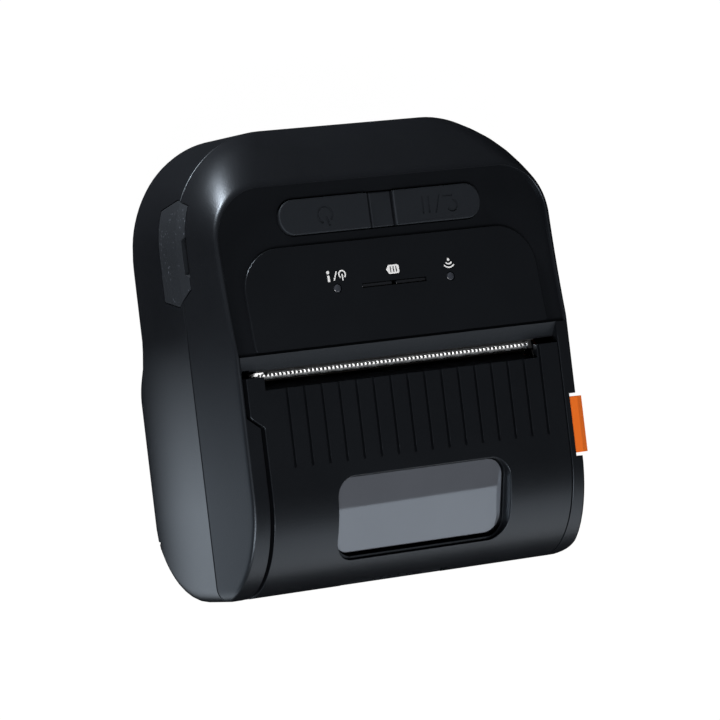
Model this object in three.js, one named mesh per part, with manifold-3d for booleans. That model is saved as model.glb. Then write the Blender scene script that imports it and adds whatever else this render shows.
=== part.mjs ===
import * as THREE from 'three';
import { mergeVertices } from 'three/addons/utils/BufferGeometryUtils.js';
import Module from 'manifold-3d';

const wasm = await Module();
wasm.setup();

// Label printer lying on its back, in millimetres.
// X runs across the width, Y towards the key end, Z out of the front face.

// Driving dimensions
const body = {
  halfWidth: 52.8, halfLength: 59.2, partingZ: 34, frontZ: 53.3, wall: 2.2, frontWall: 2.4,
  frontDraft: 2.3, backDraft: 3.05, seam: 0.3,
  panelDrop: 3.3, lipY: 3, crestInset: 14.7,
  cornerAtParting: 28.1, cornerAtCrest: 14, cornerBottom: 3.9,
  frontEndLength: 26.2, backEndLength: 20.3, backEndDepth: 22,
  upperBackZ: 5, backStepLength: 13, backStepStartY: -5.6,
  topBackRoundY: 6, topBackRoundZ: 3.6, backEdgeRound: 1.5,
};
const gap = 0.3;
const runningGap = 0.1;
const overrun = 5;
const weld = 1e-5;
const legs = { rightWidth: 3.9, leftWidth: 4.8, earLeftWidth: 1.1, kinkY: -13.4, kinkLength: 2.8 };
const cover = {
  wall: 2, topY: -6.9, earTopY: -3.5, bottomZ: 35.3, reliefDepth: 0.8, skirt: 1.5,
  leftGap: 1.1, notchLeftInset: 7.5, notchRightInset: 10.7,
  ribPitch: 5.15, ribCount: 16, ribCentreX: 1.65, ribGap: 2.9, ribWidth: 0.7, ribDepth: 0.5,
  stiffenerY: -17, stiffenerDepth: 6.5, skirtRise: 2.6,
};
const hinge = {
  inset: 2.6, rise: 2.4, pinRadius: 1.1, knuckleRadius: 2.1, knuckleWidth: 5.6, lugWidth: 6,
  notchLeft: -17.6, notchRight: 13.4, notchHeight: 4.2, webThickness: 1.9, lugReach: 4,
  knuckleGap: 1, lugInset: 1.1,
};
const slot = { crossbarY: -1.9, facetTopY: 1.85, facetDepth: 2.7 };
const recess = { depth: 1.1, margin: 0.9, topMargin: 0.4, corner: 13.3, bottomCorner: 0.8 };
const panel = { inset: 6.3, foot: 0.7, topInset: 16.2, thickness: 0.8, corner: 11, lift: 0.05 };
const keys = {
  bottomInset: 13.4, topInset: 4.3, leftX: -31.2, rightX: 29.9, endRadius: 4.4, lift: 0.9, bridgeLift: 0.45,
  bridgeLeftX: -3.9, bridgeRightX: 3.2, flange: 0.8, flangeThickness: 0.5,
  stemRadius: 1.5, stemLength: 0.8, bodyDepth: 2.4,
};
const lamps = {
  x: 17.2, fromPanelTop: 11.7, radius: 1.1, lift: 0.2, barHalf: 9.6, barWidth: 0.9, barGap: 1.2, barBase: 2,
  barDrop: 0.4,
};
const boards = {
  thickness: 1.2, keyZ: 43, keyInset: 14.4, keyBottomY: 10, keyTopInset: 2.5, switchSize: 4,
  switchHeight: 1.2,
  mainZ: 28, mainThickness: 1.6, mainInset: 6.8, mainRightX: 16, mainBottomY: 15, mainTopInset: 13.2,
  chip: 9, chipHeight: 1.2, connectorDepth: 3.2, connectorHeight: 2.2, connectorInset: 1,
};
const ports = {
  backZ: 23.3, frontZ: 38, topInset: 17.7, length: 23.1, peakReach: 1.9, peakZ: 32, thickness: 1.3,
  fingerStart: 6, fingerEnd: 14.8, fingerDepth: 1.7, fingerSlope: 0.8, frontTaper: 2.3,
  usbFromEnd: 16.6, usbWidth: 8, usbHeight: 3.4, usbLength: 7, usbMouth: 0.6,
  powerFromEnd: 6.6, powerWidth: 9, powerHeight: 7.6, powerLength: 12, powerBore: 2.8, powerPin: 0.9,
  standback: 1.9,
};
const mech = {
  gearWidth: 1.6, hookWidth: 1.6, armWidth: 1.6, plate: 1.2, endGap: 0.5,
  frameBottomZ: 23.5, frameBackY: 13, frameFrontY: -4.3, frameTopZ: 47.2,
  wallY: 3.4, wallBottomZ: 36, wallTopZ: 46, railHeight: 1.7, railThickness: 1.1, cornerDrop: 1,
};
const platen = {
  setback: 9.8, behindSlot: 3.3, radius: 5.2, shaftRadius: 2, bushRadius: 3.2, armRadius: 4.6,
  webInset: 1.2, segments: 24,
};
const head = {
  stripThickness: 1, stripHeight: 9, stripBottomZ: 38, sinkThickness: 2.4, sinkBottomZ: 36, sinkTopZ: 46.1,
  sinkFin: 0.8, finCount: 12, finDepth: 0.9,
  springX: 20, springZ: 41, springRadius: 2.2, springWire: 0.5, springTurns: 4,
};
const tear = { lowY: -4.4, lowZ: 49.5, rise: 1.7, thickness: 0.45, toothPitch: 1.2, toothDepth: 0.55,
  leftInset: 7.9, rightInset: 11.6, tabInset: 4.6, tabDepth: 0.7, flangeBottomZ: 46.9, flangeY: -2.9 };
const gears = { module: 0.6, platenTeeth: 18, firstTeeth: 24, secondTeeth: 32, pinionTeeth: 10,
  axleRadius: 1.25, toothShare: 0.38, addendumShare: 0.8, dedendumShare: 1.1 };
const flankShares = [[0, -1.35], [1, -0.55], [1, 0.55], [0, 1.35]];
const motor = { radius: 9, length: 15.5, shaftRadius: 1, bossRadius: 3, bossHeight: 0.9 };
const latch = { shaftRadius: 1.5, y: 8, z: 34, bossRadius: 2.6, springRadius: 2.4, springWire: 0.6,
  springTurns: 4, springX: -30, heelY: 2.4, heelZ: 0.6, backY: 1.6, backZ: 2.1, noseY: 5.6, noseZ: 2.7,
  tipY: 2.5, tipTopZ: 3.6, tipLowZ: 1.6, throatY: 5.2, throatZ: 0.2 };
const lever = {
  topY: -18.1, bottomY: -32.8, endGap: 0.9, padFrontZ: 52.6, padBackZ: 44.5, padDepth: 4.2,
  ridgeInset: 1.9, frontFall: 0.2, outerFall: 0.8, chamfer: 1.4, armThickness: 0.8, pivotY: -12, pivotZ: 47,
  pivotRadius: 1.2, eyeRadius: 2.6, pegY: -1.5, pegZ: 38.2, pegRadius: 1.2, notchBackZ: 40, flangeZ: 50.7,
  notchDepth: 4.7, bossRadius: 2.2, armTopZ: 50.2, armLowZ: 43.6,
};
const window_ = {
  centreX: 1.2, halfWidth: 26.2, bottomInset: 6.9, length: 22, corner: 5.5, wellWall: 1.6, lensTopZ: 51.9,
  lensBottomZ: 45.4, lensThickness: 1.2, ledge: 1.2, bezel: 0.9, bezelRise: 0.5,
};
const tub = { inset: 2.6, wall: 1.5, topZ: 32.5, innerY: -15.6, leftInset: 6.5, rightInset: 6.5 };
const guide = { inset: 11, thickness: 1.5, radius: 15.5, bottomClear: 8.2, topClear: 4.4, centreZ: 24.5,
  rackHeight: 1.4, rackGap: 0.5, rackWidth: 2, rackPast: 5, module: 0.8, teeth: 10, pinRadius: 1,
  bore: 5, footWidth: 3, footRise: 6 };
const battery = {
  halfWidth: 36.2, bottomY: -9.5, topInset: 13.2, thickness: 19.8, corner: 4, edge: 1.2, wall: 1.5,
  latchHalf: 8, latchLength: 3.5, latchFlange: 2, latchTravel: 1.5, tongueHalf: 3.7, tongueZ: 9.2,
  tongueHeight: 1.6, tongueReach: 2.2, latchProud: 0.4, latchPlate: 1.2,
  contactHalf: 10, contactZ: 8, contactHeight: 8, contactDepth: 2,
};
const screws = {
  headRadius: 2.3, headHeight: 1.6, shankRadius: 1.1, length: 34, sink: 2.2, postRadius: 2.9,
  topInsetX: 11.8, topInsetY: 16.2, lowLeftInset: 5, lowRightInset: 4.9, lowInsetY: 15.2,
  lowPostRadius: 2.2, threadReach: 8,
  socketRadius: 1, socketDepth: 0.8,
};
const posts = { radius: 2.4, boardRadius: 2.2 };
const cable = { halfWidth: 12, thickness: 0.4, topZ: 35.4, runZ: 31.2, bend: 2 };
const sensor = { halfWidth: 6, depth: 2.8, height: 2 };
const coverSpring = { radius: 1.9, wire: 0.5, turns: 6 };

const round = {
  corner: 8, smallCorner: 3, rod: 11, leastLevel: 0.05, end: 9, bow: 6, circle: 16, step: 5,
  coilSteps: 8, coilSides: 5,
};

// Places worked out from the sizes
const halfFront = body.halfWidth - body.frontDraft;
const crestY = body.halfLength - body.crestInset;
const panelHalf = halfFront - panel.inset;
const panelLowY = slot.facetTopY + panel.foot;
const panelTopY = crestY - panel.topInset;
const keyLowY = crestY - keys.bottomInset;
const keyTopY = crestY - keys.topInset;
const lampY = panelTopY - lamps.fromPanelTop;
const keyBoardHalf = halfFront - boards.keyInset;
const keyBoardTopY = crestY - boards.keyTopInset;
const mainLeftX = boards.mainInset - body.halfWidth;
const mainTopY = body.halfLength - boards.mainTopInset;
const portTopY = body.halfLength - ports.topInset;
const portLowY = portTopY - ports.length;
const tearX = {
  left: halfFront - tear.leftInset, right: halfFront - tear.rightInset, tab: halfFront - tear.tabInset,
};
const padX = {
  inner: body.halfWidth - lever.padDepth, ridge: body.halfWidth - lever.ridgeInset,
  notch: body.halfWidth - lever.notchDepth,
};
const windowLowY = window_.bottomInset - body.halfLength;
const windowTopY = windowLowY + window_.length;
const tubX = { left: halfFront - tub.leftInset, right: halfFront - tub.rightInset };
const guideX = halfFront - guide.inset;
const guideLowY = guide.bottomClear - body.halfLength;
const guideRadius = Math.min(guide.radius, (tub.innerY - guide.topClear - guideLowY) / 2);
const guideY = guideLowY + guideRadius;
const batteryTopY = body.halfLength - battery.topInset;
const screwX = {
  top: body.halfWidth - screws.topInsetX, lowLeft: body.halfWidth - screws.lowLeftInset,
  lowRight: body.halfWidth - screws.lowRightInset,
};
const screwY = { top: body.halfLength - screws.topInsetY, low: screws.lowInsetY - body.halfLength };
const legRightX = halfFront - legs.rightWidth;
const legLeftX = halfFront - legs.leftWidth;
const earLeftX = halfFront - legs.earLeftWidth;
const coverRightX = legRightX - gap;
const coverLeftX = cover.leftGap - legLeftX;
const notchX = { left: cover.notchLeftInset - halfFront, right: halfFront - cover.notchRightInset };
const gearX = { high: coverRightX - runningGap, low: coverRightX - runningGap - mech.gearWidth };
const hookX = { high: gearX.low - gap, low: gearX.low - gap - mech.hookWidth };
const armX = { high: hookX.low - gap, low: hookX.low - gap - mech.armWidth };
const rollerHalf = armX.low - mech.endGap;
const plateX = { high: armX.high - runningGap, low: armX.high - runningGap - mech.plate };
const platenY = cover.topY - platen.behindSlot;
const platenZ = body.frontZ - platen.setback;
const hingeY = -body.halfLength + hinge.inset;
const hingeZ = body.partingZ + hinge.rise;
const lugLeftX = hinge.notchLeft + hinge.lugInset;
const lugRightX = hinge.notchRight - hinge.lugInset - hinge.lugWidth;
const pinX = {
  low: hinge.notchLeft - hinge.knuckleGap - hinge.knuckleWidth,
  high: hinge.notchRight + hinge.knuckleGap + hinge.knuckleWidth,
};
const headFaceY = platenY + platen.radius + gap;
const bayTopZ = battery.thickness + gap + battery.wall;

// Solid helpers
function toSolid(geometry) {
  const bare = geometry.clone();
  bare.deleteAttribute('normal');
  bare.deleteAttribute('uv');
  const merged = mergeVertices(bare, weld);
  const vertProperties = new Float32Array(merged.attributes.position.array);
  const triVerts = new Uint32Array(merged.index.array);
  return new wasm.Manifold(new wasm.Mesh({ numProp: 3, vertProperties, triVerts }));
}

function toGeometry(solid) {
  const { numProp, vertProperties, triVerts } = solid.getMesh();
  const geometry = new THREE.BufferGeometry();
  const points = new Float32Array((vertProperties.length / numProp) * 3);
  for (let i = 0; i < points.length / 3; i += 1) {
    for (let axis = 0; axis < 3; axis += 1) points[3 * i + axis] = vertProperties[numProp * i + axis];
  }
  geometry.setAttribute('position', new THREE.BufferAttribute(points, 3));
  geometry.setIndex(new THREE.BufferAttribute(new Uint32Array(triVerts), 1));
  geometry.computeVertexNormals();
  return geometry;
}

function extrudeOutline(points, depth) {
  const shape = new THREE.Shape(points.map(([a, b]) => new THREE.Vector2(a, b)));
  return new THREE.ExtrudeGeometry(shape, { depth, bevelEnabled: false, curveSegments: 1 });
}

// Outline in X and Y, raised along Z
function prismZ(points, low, high) {
  return toSolid(extrudeOutline(points, high - low).translate(0, 0, low));
}

// Outline in Y and Z, drawn along X
function prismX(points, low, high) {
  const turn = new THREE.Matrix4().set(0, 0, 1, low, 1, 0, 0, 0, 0, 1, 0, 0, 0, 0, 0, 1);
  return toSolid(extrudeOutline(points, high - low).applyMatrix4(turn));
}

// Outline in X and Z, drawn along Y
function prismY(points, low, high) {
  const turn = new THREE.Matrix4().set(0, 1, 0, 0, 0, 0, 1, low, 1, 0, 0, 0, 0, 0, 0, 1);
  return toSolid(extrudeOutline(points.map(([x, z]) => [z, x]), high - low).applyMatrix4(turn));
}

function block(x0, x1, y0, y1, z0, z1) {
  return prismZ([[x0, y0], [x1, y0], [x1, y1], [x0, y1]], z0, z1);
}

function circle(a, b, radius, count = round.circle) {
  return Array.from({ length: count }, (_, i) => {
    const turn = (2 * Math.PI * i) / count;
    return [a + radius * Math.cos(turn), b + radius * Math.sin(turn)];
  });
}

function arc(a, b, radiusA, radiusB, from, to, count) {
  return Array.from({ length: count + 1 }, (_, i) => {
    const turn = from + ((to - from) * i) / count;
    return [a + radiusA * Math.cos(turn), b + radiusB * Math.sin(turn)];
  });
}

// Rectangle whose corners are rounded in the order low-left, low-right, high-right, high-left
function roundedOutline(a0, a1, b0, b1, radii, count = round.smallCorner) {
  const [r0, r1, r2, r3] = radii;
  return [
    ...arc(a0 + r0, b0 + r0, r0, r0, Math.PI, 1.5 * Math.PI, count),
    ...arc(a1 - r1, b0 + r1, r1, r1, 1.5 * Math.PI, 2 * Math.PI, count),
    ...arc(a1 - r2, b1 - r2, r2, r2, 0, 0.5 * Math.PI, count),
    ...arc(a0 + r3, b1 - r3, r3, r3, 0.5 * Math.PI, Math.PI, count),
  ];
}

function rodX(y, z, radius, x0, x1, count = round.circle) {
  return prismX(circle(y, z, radius, count), x0, x1);
}

function rodZ(x, y, radius, z0, z1, count = round.circle) {
  return prismZ(circle(x, y, radius, count), z0, z1);
}

function joined(...solids) {
  return solids.reduce((sum, solid) => sum.add(solid));
}

function loft(rings) {
  const count = rings[0].length;
  const points = rings.flat(2);
  const index = [];
  for (let level = 0; level < rings.length - 1; level += 1) {
    for (let i = 0; i < count; i += 1) {
      const a = level * count + i;
      const b = level * count + ((i + 1) % count);
      index.push(a, b, b + count, a, b + count, a + count);
    }
  }
  const last = (rings.length - 1) * count;
  for (let i = 1; i < count - 1; i += 1) {
    index.push(0, i + 1, i, last, last + i, last + i + 1);
  }
  const geometry = new THREE.BufferGeometry();
  geometry.setAttribute('position', new THREE.BufferAttribute(new Float32Array(points), 3));
  geometry.setIndex(index);
  return toSolid(geometry);
}

// Outer form of the printer, drawn in by an inset
function frontHeight(y) {
  if (y <= body.lipY) return body.frontZ;
  const share = Math.max(0, (crestY - y) / (crestY - body.lipY));
  return body.frontZ - body.panelDrop * (1 - share * share);
}

function halfWidthAt(z, inset) {
  const frontDepth = body.frontZ - body.partingZ;
  if (z >= body.partingZ) {
    return body.halfWidth - (body.frontDraft * (z - body.partingZ)) / frontDepth - inset;
  }
  const round_ = body.backEdgeRound;
  const rise = Math.max(0, Math.min(round_, round_ - z));
  const edge = round_ - Math.sqrt(round_ * round_ - rise * rise);
  return body.halfWidth - (body.backDraft * (body.partingZ - z)) / body.partingZ - edge - inset;
}

function topEndAt(z, inset) {
  const crestZ = body.frontZ - body.panelDrop;
  if (z >= crestZ) return crestY - inset * Math.SQRT2 - (z - crestZ);
  if (z >= body.partingZ) {
    const share = (z - body.partingZ) / (crestZ - body.partingZ);
    const bulgeShare = 0.12;
    const fall = share - bulgeShare * Math.sin(Math.PI * share);
    const slope = body.halfLength - (body.halfLength - crestY) * fall;
    return slope - inset * (1 + (Math.SQRT2 - 1) * Math.min(1, 4 * share));
  }
  const startZ = body.upperBackZ + body.topBackRoundZ;
  if (z >= startZ) return body.halfLength - inset;
  const drop = Math.min(1, (startZ - z) / body.topBackRoundZ);
  return body.halfLength - body.topBackRoundY * (1 - Math.sqrt(1 - drop * drop)) - inset;
}

function bottomEndAt(z, inset) {
  const centreY = -body.halfLength + body.backEndLength;
  if (z >= body.backEndDepth) return -body.halfLength + inset;
  const drop = Math.min(1, (body.backEndDepth - z) / (body.backEndDepth - inset));
  return centreY - (body.backEndLength - inset) * Math.sqrt(1 - drop * drop);
}

function cornerAt(z, inset) {
  const crestZ = body.frontZ - body.panelDrop;
  const share = Math.min(1, Math.max(0, (z - body.partingZ) / (crestZ - body.partingZ)));
  return body.cornerAtParting - (body.cornerAtParting - body.cornerAtCrest) * share - inset;
}

function ringAt(z, inset) {
  const half = halfWidthAt(z, inset);
  const top = topEndAt(z, inset);
  const low = bottomEndAt(z, inset);
  const corner = cornerAt(z, inset);
  const small = Math.max(body.cornerBottom - inset, body.seam);
  return [
    ...arc(half - small, low + small, small, small, -0.5 * Math.PI, 0, round.smallCorner),
    ...arc(half - corner, top - corner, corner, corner, 0, 0.5 * Math.PI, round.corner),
    ...arc(corner - half, top - corner, corner, corner, 0.5 * Math.PI, Math.PI, round.corner),
    ...arc(small - half, low + small, small, small, Math.PI, 1.5 * Math.PI, round.smallCorner),
  ].map(([x, y]) => [x, y, z]);
}

function levelsFor(inset) {
  const startZ = body.upperBackZ + body.topBackRoundZ;
  const backShares = [0, 0.02, 0.068, 0.15, 0.31];
  const roundShares = [0.4, 1];
  const midShares = [0.65];
  const shoulderShares = [0, 0.25, 0.5, 0.75, 1];
  const crestZ = body.frontZ - body.panelDrop;
  const levels = new Set([inset - overrun]);
  backShares.forEach((share) => levels.add(inset + share * (body.backEndDepth - inset)));
  roundShares.forEach((share) => levels.add(body.upperBackZ + share * (startZ - body.upperBackZ)));
  midShares.forEach((share) => levels.add(share * body.backEndDepth));
  levels.add(body.backEndDepth);
  shoulderShares.forEach((share) => levels.add(body.partingZ + share * (crestZ - body.partingZ)));
  levels.add(body.frontZ + body.seam);
  return [...levels].sort((a, b) => a - b)
    .filter((z, i, all) => i === 0 || z - all[i - 1] > round.leastLevel);
}

function frontProfile(inset) {
  const frontDepth = body.frontZ - body.partingZ;
  const endY = -body.halfLength + body.frontEndLength;
  const end = arc(endY, body.partingZ, body.frontEndLength - inset, frontDepth - inset,
    Math.PI, 0.5 * Math.PI, round.end);
  const bow = Array.from({ length: round.bow + 1 }, (_, i) => {
    const y = body.lipY + ((crestY - body.lipY) * i) / round.bow;
    return [y, frontHeight(y) - inset];
  });
  return [...end, ...bow];
}

function sideProfile(inset) {
  const farY = body.halfLength + overrun;
  const stepEndY = body.backStepStartY + body.backStepLength;
  const step = Array.from({ length: round.step + 1 }, (_, i) => {
    const share = i / round.step;
    const rise = 0.5 - 0.5 * Math.cos(Math.PI * share);
    return [stepEndY - body.backStepLength * share, inset + body.upperBackZ * (1 - rise)];
  });
  return [
    [farY, inset + body.upperBackZ], ...step, [-farY, inset], [-farY, body.partingZ],
    ...frontProfile(inset), [farY, body.frontZ - body.panelDrop - inset],
  ].reverse();
}

function bodySolid(inset) {
  const rings = levelsFor(inset).map((z) => ringAt(z, inset));
  const reach = body.halfWidth + overrun;
  return loft(rings).intersect(prismX(sideProfile(inset), -reach, reach));
}

// Band under the front face, between two depths below it
function frontBand(shallow, deep, y0, y1) {
  const inside = frontProfile(0).filter(([y]) => y > y0 && y < y1);
  const line = [[y0, frontHeight(y0)], ...inside, [y1, frontHeight(y1)]];
  const points = [
    ...line.map(([y, z]) => [y, z - deep]),
    ...line.reverse().map(([y, z]) => [y, z - shallow]),
  ];
  const reach = body.halfWidth + overrun;
  return prismX(points, -reach, reach);
}

function coilGeometry(radius, wire, turns, length) {
  class Helix extends THREE.Curve {
    getPoint(share, target = new THREE.Vector3()) {
      const turn = 2 * Math.PI * turns * share;
      return target.set(radius * Math.cos(turn), radius * Math.sin(turn), length * share);
    }
  }
  const shape = new THREE.Shape(circle(0, 0, wire / 2, round.coilSides)
    .map(([a, b]) => new THREE.Vector2(a, b)));
  const steps = Math.round(round.coilSteps * turns);
  return new THREE.ExtrudeGeometry(shape, { steps, bevelEnabled: false, extrudePath: new Helix() });
}

// Toothed wheel round the origin, with a tooth centred on the angle phase
function wheelOutline(teeth, module, phase) {
  const radius = (teeth * module) / 2;
  const root = radius - gears.dedendumShare * module;
  const depth = (gears.addendumShare + gears.dedendumShare) * module;
  const pitch = (2 * Math.PI) / teeth;
  const half = (gears.toothShare * pitch) / 2;
  const points = [];
  for (let i = 0; i < teeth; i += 1) {
    const centre = phase + i * pitch;
    flankShares.forEach(([rise, share]) => {
      const r = root + rise * depth;
      points.push([r * Math.cos(centre + share * half), r * Math.sin(centre + share * half)]);
    });
  }
  return points;
}

// Materials
const finishes = {
  shell: { color: 0x16171a, roughness: 0.55, metalness: 0 },
  rubber: { color: 0x17181b, roughness: 0.8, metalness: 0 },
  panel: { color: 0x0f1013, roughness: 0.45, metalness: 0 },
  lens: { color: 0x3a3c40, roughness: 0.2, metalness: 0 },
  glass: { color: 0x5a6066, roughness: 0.1, metalness: 0 },
  orange: { color: 0xf2701f, roughness: 0.5, metalness: 0 },
  steel: { color: 0xb8babd, roughness: 0.35, metalness: 1 },
  aluminium: { color: 0xc4c6c8, roughness: 0.4, metalness: 1 },
  board: { color: 0x1f4d33, roughness: 0.6, metalness: 0 },
  gear: { color: 0xd9d6cc, roughness: 0.6, metalness: 0 },
  inner: { color: 0x2a2b2e, roughness: 0.7, metalness: 0 },
  brass: { color: 0xb99a52, roughness: 0.4, metalness: 1 },
  ceramic: { color: 0x77705f, roughness: 0.4, metalness: 0 },
};

const printer = new THREE.Group();

function place(name, shape, finish, position = [0, 0, 0], rotation = [0, 0, 0]) {
  const geometry = shape.isBufferGeometry ? shape : toGeometry(shape);
  const mesh = new THREE.Mesh(geometry, new THREE.MeshStandardMaterial(finishes[finish]));
  mesh.name = name;
  mesh.position.set(...position);
  mesh.rotation.set(...rotation);
  printer.add(mesh);
  return mesh;
}

// Case screws, as [x, y, post radius, lowest z of the back there]
const screwPlaces = [
  [-screwX.top, screwY.top, screws.postRadius, body.upperBackZ],
  [screwX.top, screwY.top, screws.postRadius, body.upperBackZ],
  [-screwX.lowLeft, screwY.low, screws.lowPostRadius, 0],
  [screwX.lowRight, screwY.low, screws.lowPostRadius, 0],
];

function portOutline(clear, notched) {
  const y0 = portLowY - clear;
  const y1 = portTopY + clear;
  const back = ports.backZ - clear;
  const front = ports.frontZ + clear;
  const fingerLow = portLowY + ports.fingerStart;
  const fingerHigh = portLowY + ports.fingerEnd;
  const finger = notched ? [
    [fingerHigh + ports.fingerSlope, front], [fingerHigh, front - ports.fingerDepth],
    [fingerLow, front - ports.fingerDepth], [fingerLow - ports.fingerSlope, front],
  ] : [];
  return [
    [y0, back], [y1, back], [y1 + ports.peakReach, ports.peakZ], [y1, front], ...finger,
    [y0 + ports.frontTaper, front], [y0 - ports.peakReach, ports.peakZ],
  ];
}

function portCut() {
  const reach = body.halfWidth + overrun;
  const pocket = prismX(portOutline(gap, false), -reach, 0).subtract(bodySolid(ports.thickness + gap));
  const y0 = portLowY + body.wall;
  const y1 = portTopY - body.wall;
  const mouth = block(-reach, mainLeftX, y0, y1, boards.mainZ - gap, ports.frontZ - body.wall);
  return pocket.add(mouth);
}

function hingeLug(x) {
  const outer = -body.halfLength + gap;
  const web = block(x, x + hinge.lugWidth, outer, outer + hinge.webThickness,
    body.partingZ - hinge.lugReach, hingeZ);
  return rodX(hingeY, hingeZ, hinge.knuckleRadius - runningGap, x, x + hinge.lugWidth).add(web);
}

function batteryBay() {
  const half = battery.halfWidth + gap;
  const low = battery.bottomY - gap;
  const high = batteryTopY + gap;
  const inner = block(-half, half, low, high, -overrun, battery.thickness + gap);
  const w = battery.wall;
  const outer = block(-half - w, half + w, low - w, high + w, 0, bayTopZ).intersect(bodySolid(0));
  return { inner, outer };
}

function rearShell() {
  const top = body.partingZ - body.seam / 2;
  const reach = body.halfWidth + overrun;
  const below = block(-reach, reach, -2 * reach, 2 * reach, -overrun, top);
  const hollow = bodySolid(body.wall);
  const bay = batteryBay();
  let shell = bodySolid(0).intersect(below).subtract(hollow).add(bay.outer);
  screwPlaces.forEach(([x, y, radius, back]) => {
    shell = shell.add(rodZ(x, y, radius, back + body.wall / 2, top).intersect(bodySolid(body.wall / 2)));
  });
  [[-1, 0], [1, 0], [-1, 1], [1, 1]].forEach(([side, row]) => {
    const x = side * (plateX.low - 2 * posts.radius);
    const y = row ? mech.frameBackY - 2 * posts.radius : mech.frameFrontY + 2 * posts.radius;
    shell = shell.add(rodZ(x, y, posts.radius, bayTopZ - battery.wall, mech.frameBottomZ - gap));
  });
  mainBoardPosts().forEach(([x, y]) => {
    shell = shell.add(rodZ(x, y, posts.boardRadius, bayTopZ - battery.wall, boards.mainZ - gap));
  });
  shell = shell.subtract(bay.inner).subtract(portCut());
  const reliefTop = top - cover.reliefDepth;
  shell = shell.subtract(block(-legLeftX - gap, legRightX, -2 * reach, hingeY + hinge.lugReach,
    reliefTop, body.frontZ));
  shell = shell.add(hingeLug(lugLeftX)).add(hingeLug(lugRightX));
  shell = shell.subtract(rodX(hingeY, hingeZ, hinge.pinRadius + runningGap, pinX.low, pinX.high));
  screwPlaces.forEach(([x, y, , back]) => {
    shell = shell.subtract(rodZ(x, y, screws.headRadius + runningGap, -overrun,
      back + screws.sink + screws.headHeight));
    shell = shell.subtract(rodZ(x, y, screws.shankRadius + runningGap, 0, body.frontZ));
  });
  return shell.subtract(latchCut());
}

function mainBoardPosts() {
  const inset = 2 * posts.boardRadius;
  return [
    [mainLeftX + 3 * inset, boards.mainBottomY + inset],
    [boards.mainRightX - inset, boards.mainBottomY + inset],
    [boards.mainRightX - inset, mainTopY - inset],
  ];
}

function latchCut() {
  const low = batteryTopY + gap + battery.wall;
  const half = battery.latchHalf + gap;
  const high = low + battery.latchLength + battery.latchTravel + 2 * gap;
  const window = block(-half, half, low, high, -overrun, body.upperBackZ + body.wall + gap);
  const tongueHalf = battery.tongueHalf + gap;
  const tongue = block(-tongueHalf, tongueHalf, batteryTopY, low + gap,
    battery.tongueZ - gap, battery.tongueZ + battery.tongueHeight + gap);
  return window.add(tongue);
}

function recessOutline() {
  const half = halfFront - recess.margin;
  const top = crestY - recess.topMargin;
  const low = slot.facetTopY;
  const small = recess.bottomCorner;
  return roundedOutline(-half, half, low, top, [small, small, recess.corner, recess.corner], round.corner);
}

function keySlotOutline(clear) {
  const r = keys.endRadius + clear;
  return roundedOutline(keys.leftX - clear, keys.rightX + clear, keyLowY - clear, keyTopY + clear,
    [r, r, r, r], round.corner);
}

function coverOpening(clear) {
  const far = 2 * body.halfLength;
  const kinkY = legs.kinkY;
  const low = kinkY - legs.kinkLength;
  return [
    [legRightX - clear, -far], [legRightX - clear, slot.crossbarY - clear],
    [-earLeftX + clear, slot.crossbarY - clear], [-earLeftX + clear, kinkY],
    [-legLeftX + clear, low], [-legLeftX + clear, -far],
  ];
}

function frontShell() {
  const start = body.partingZ + body.seam / 2;
  const reach = body.halfWidth + overrun;
  const far = 2 * reach;
  const above = block(-reach, reach, -far, far, start, far);
  const w = body.frontWall;
  const innerFront = slot.crossbarY - overrun;
  const facetFall = slot.facetDepth + w;
  const facetInner = prismX([
    [slot.facetTopY - w / 2, body.frontZ - w], [innerFront, body.frontZ - w],
    [innerFront, body.frontZ - facetFall - overrun / 2], [slot.crossbarY, body.frontZ - facetFall],
  ], -legLeftX, legRightX);
  const hollow = bodySolid(w).subtract(facetInner);
  let shell = bodySolid(0).intersect(above).subtract(hollow);
  const recessTop = body.halfLength;
  const floorCut = prismZ(recessOutline(), start, far)
    .intersect(frontBand(-overrun, recess.depth, slot.facetTopY - overrun, recessTop));
  shell = shell.subtract(floorCut);
  shell = shell.subtract(prismX([
    [slot.facetTopY, body.frontZ], [slot.facetTopY, far],
    [slot.crossbarY - overrun, far], [slot.crossbarY - overrun, body.frontZ - slot.facetDepth],
    [slot.crossbarY, body.frontZ - slot.facetDepth],
  ], -earLeftX, legRightX));
  shell = shell.subtract(prismZ(coverOpening(0), 0, far));
  shell = shell.subtract(prismZ(keySlotOutline(gap), start, far));
  [-lamps.x, lamps.x].forEach((x) => {
    shell = shell.subtract(rodZ(x, lampY, lamps.radius + gap, start, far, round.rod));
  });
  const barHalf = lamps.barHalf + gap;
  const barWide = lamps.barWidth / 2 + gap;
  shell = shell.subtract(block(-barHalf, barHalf, lampY - barWide, lampY + barWide, start, far));
  screwPlaces.forEach(([x, y, radius], i) => {
    const bossTop = i < 2 ? body.frontZ - body.panelDrop : platenZ + gap;
    shell = shell.add(rodZ(x, y, radius, start, bossTop).intersect(bodySolid(w / 2)));
    shell = shell.subtract(rodZ(x, y, screws.shankRadius + runningGap, 0, start + screws.threadReach));
  });
  const wallX = halfWidthAt(lever.pivotZ, 0);
  shell = shell.add(rodX(lever.pivotY, lever.pivotZ, lever.bossRadius, leverX.high + gap, wallX - w / 2));
  shell = shell.subtract(rodX(lever.pivotY, lever.pivotZ, lever.pivotRadius + runningGap, 0, wallX - w / 2));
  const low = lever.bottomY - lever.endGap;
  const high = lever.topY + lever.endGap;
  shell = shell.subtract(block(padX.notch, reach, low, high, lever.notchBackZ, far));
  shell = shell.subtract(block(coverRightX, reach, low, high, lever.notchBackZ, lever.flangeZ));
  return shell.subtract(portCut());
}

const leverX = { low: coverRightX + gap, high: coverRightX + gap + lever.armThickness };

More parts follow.
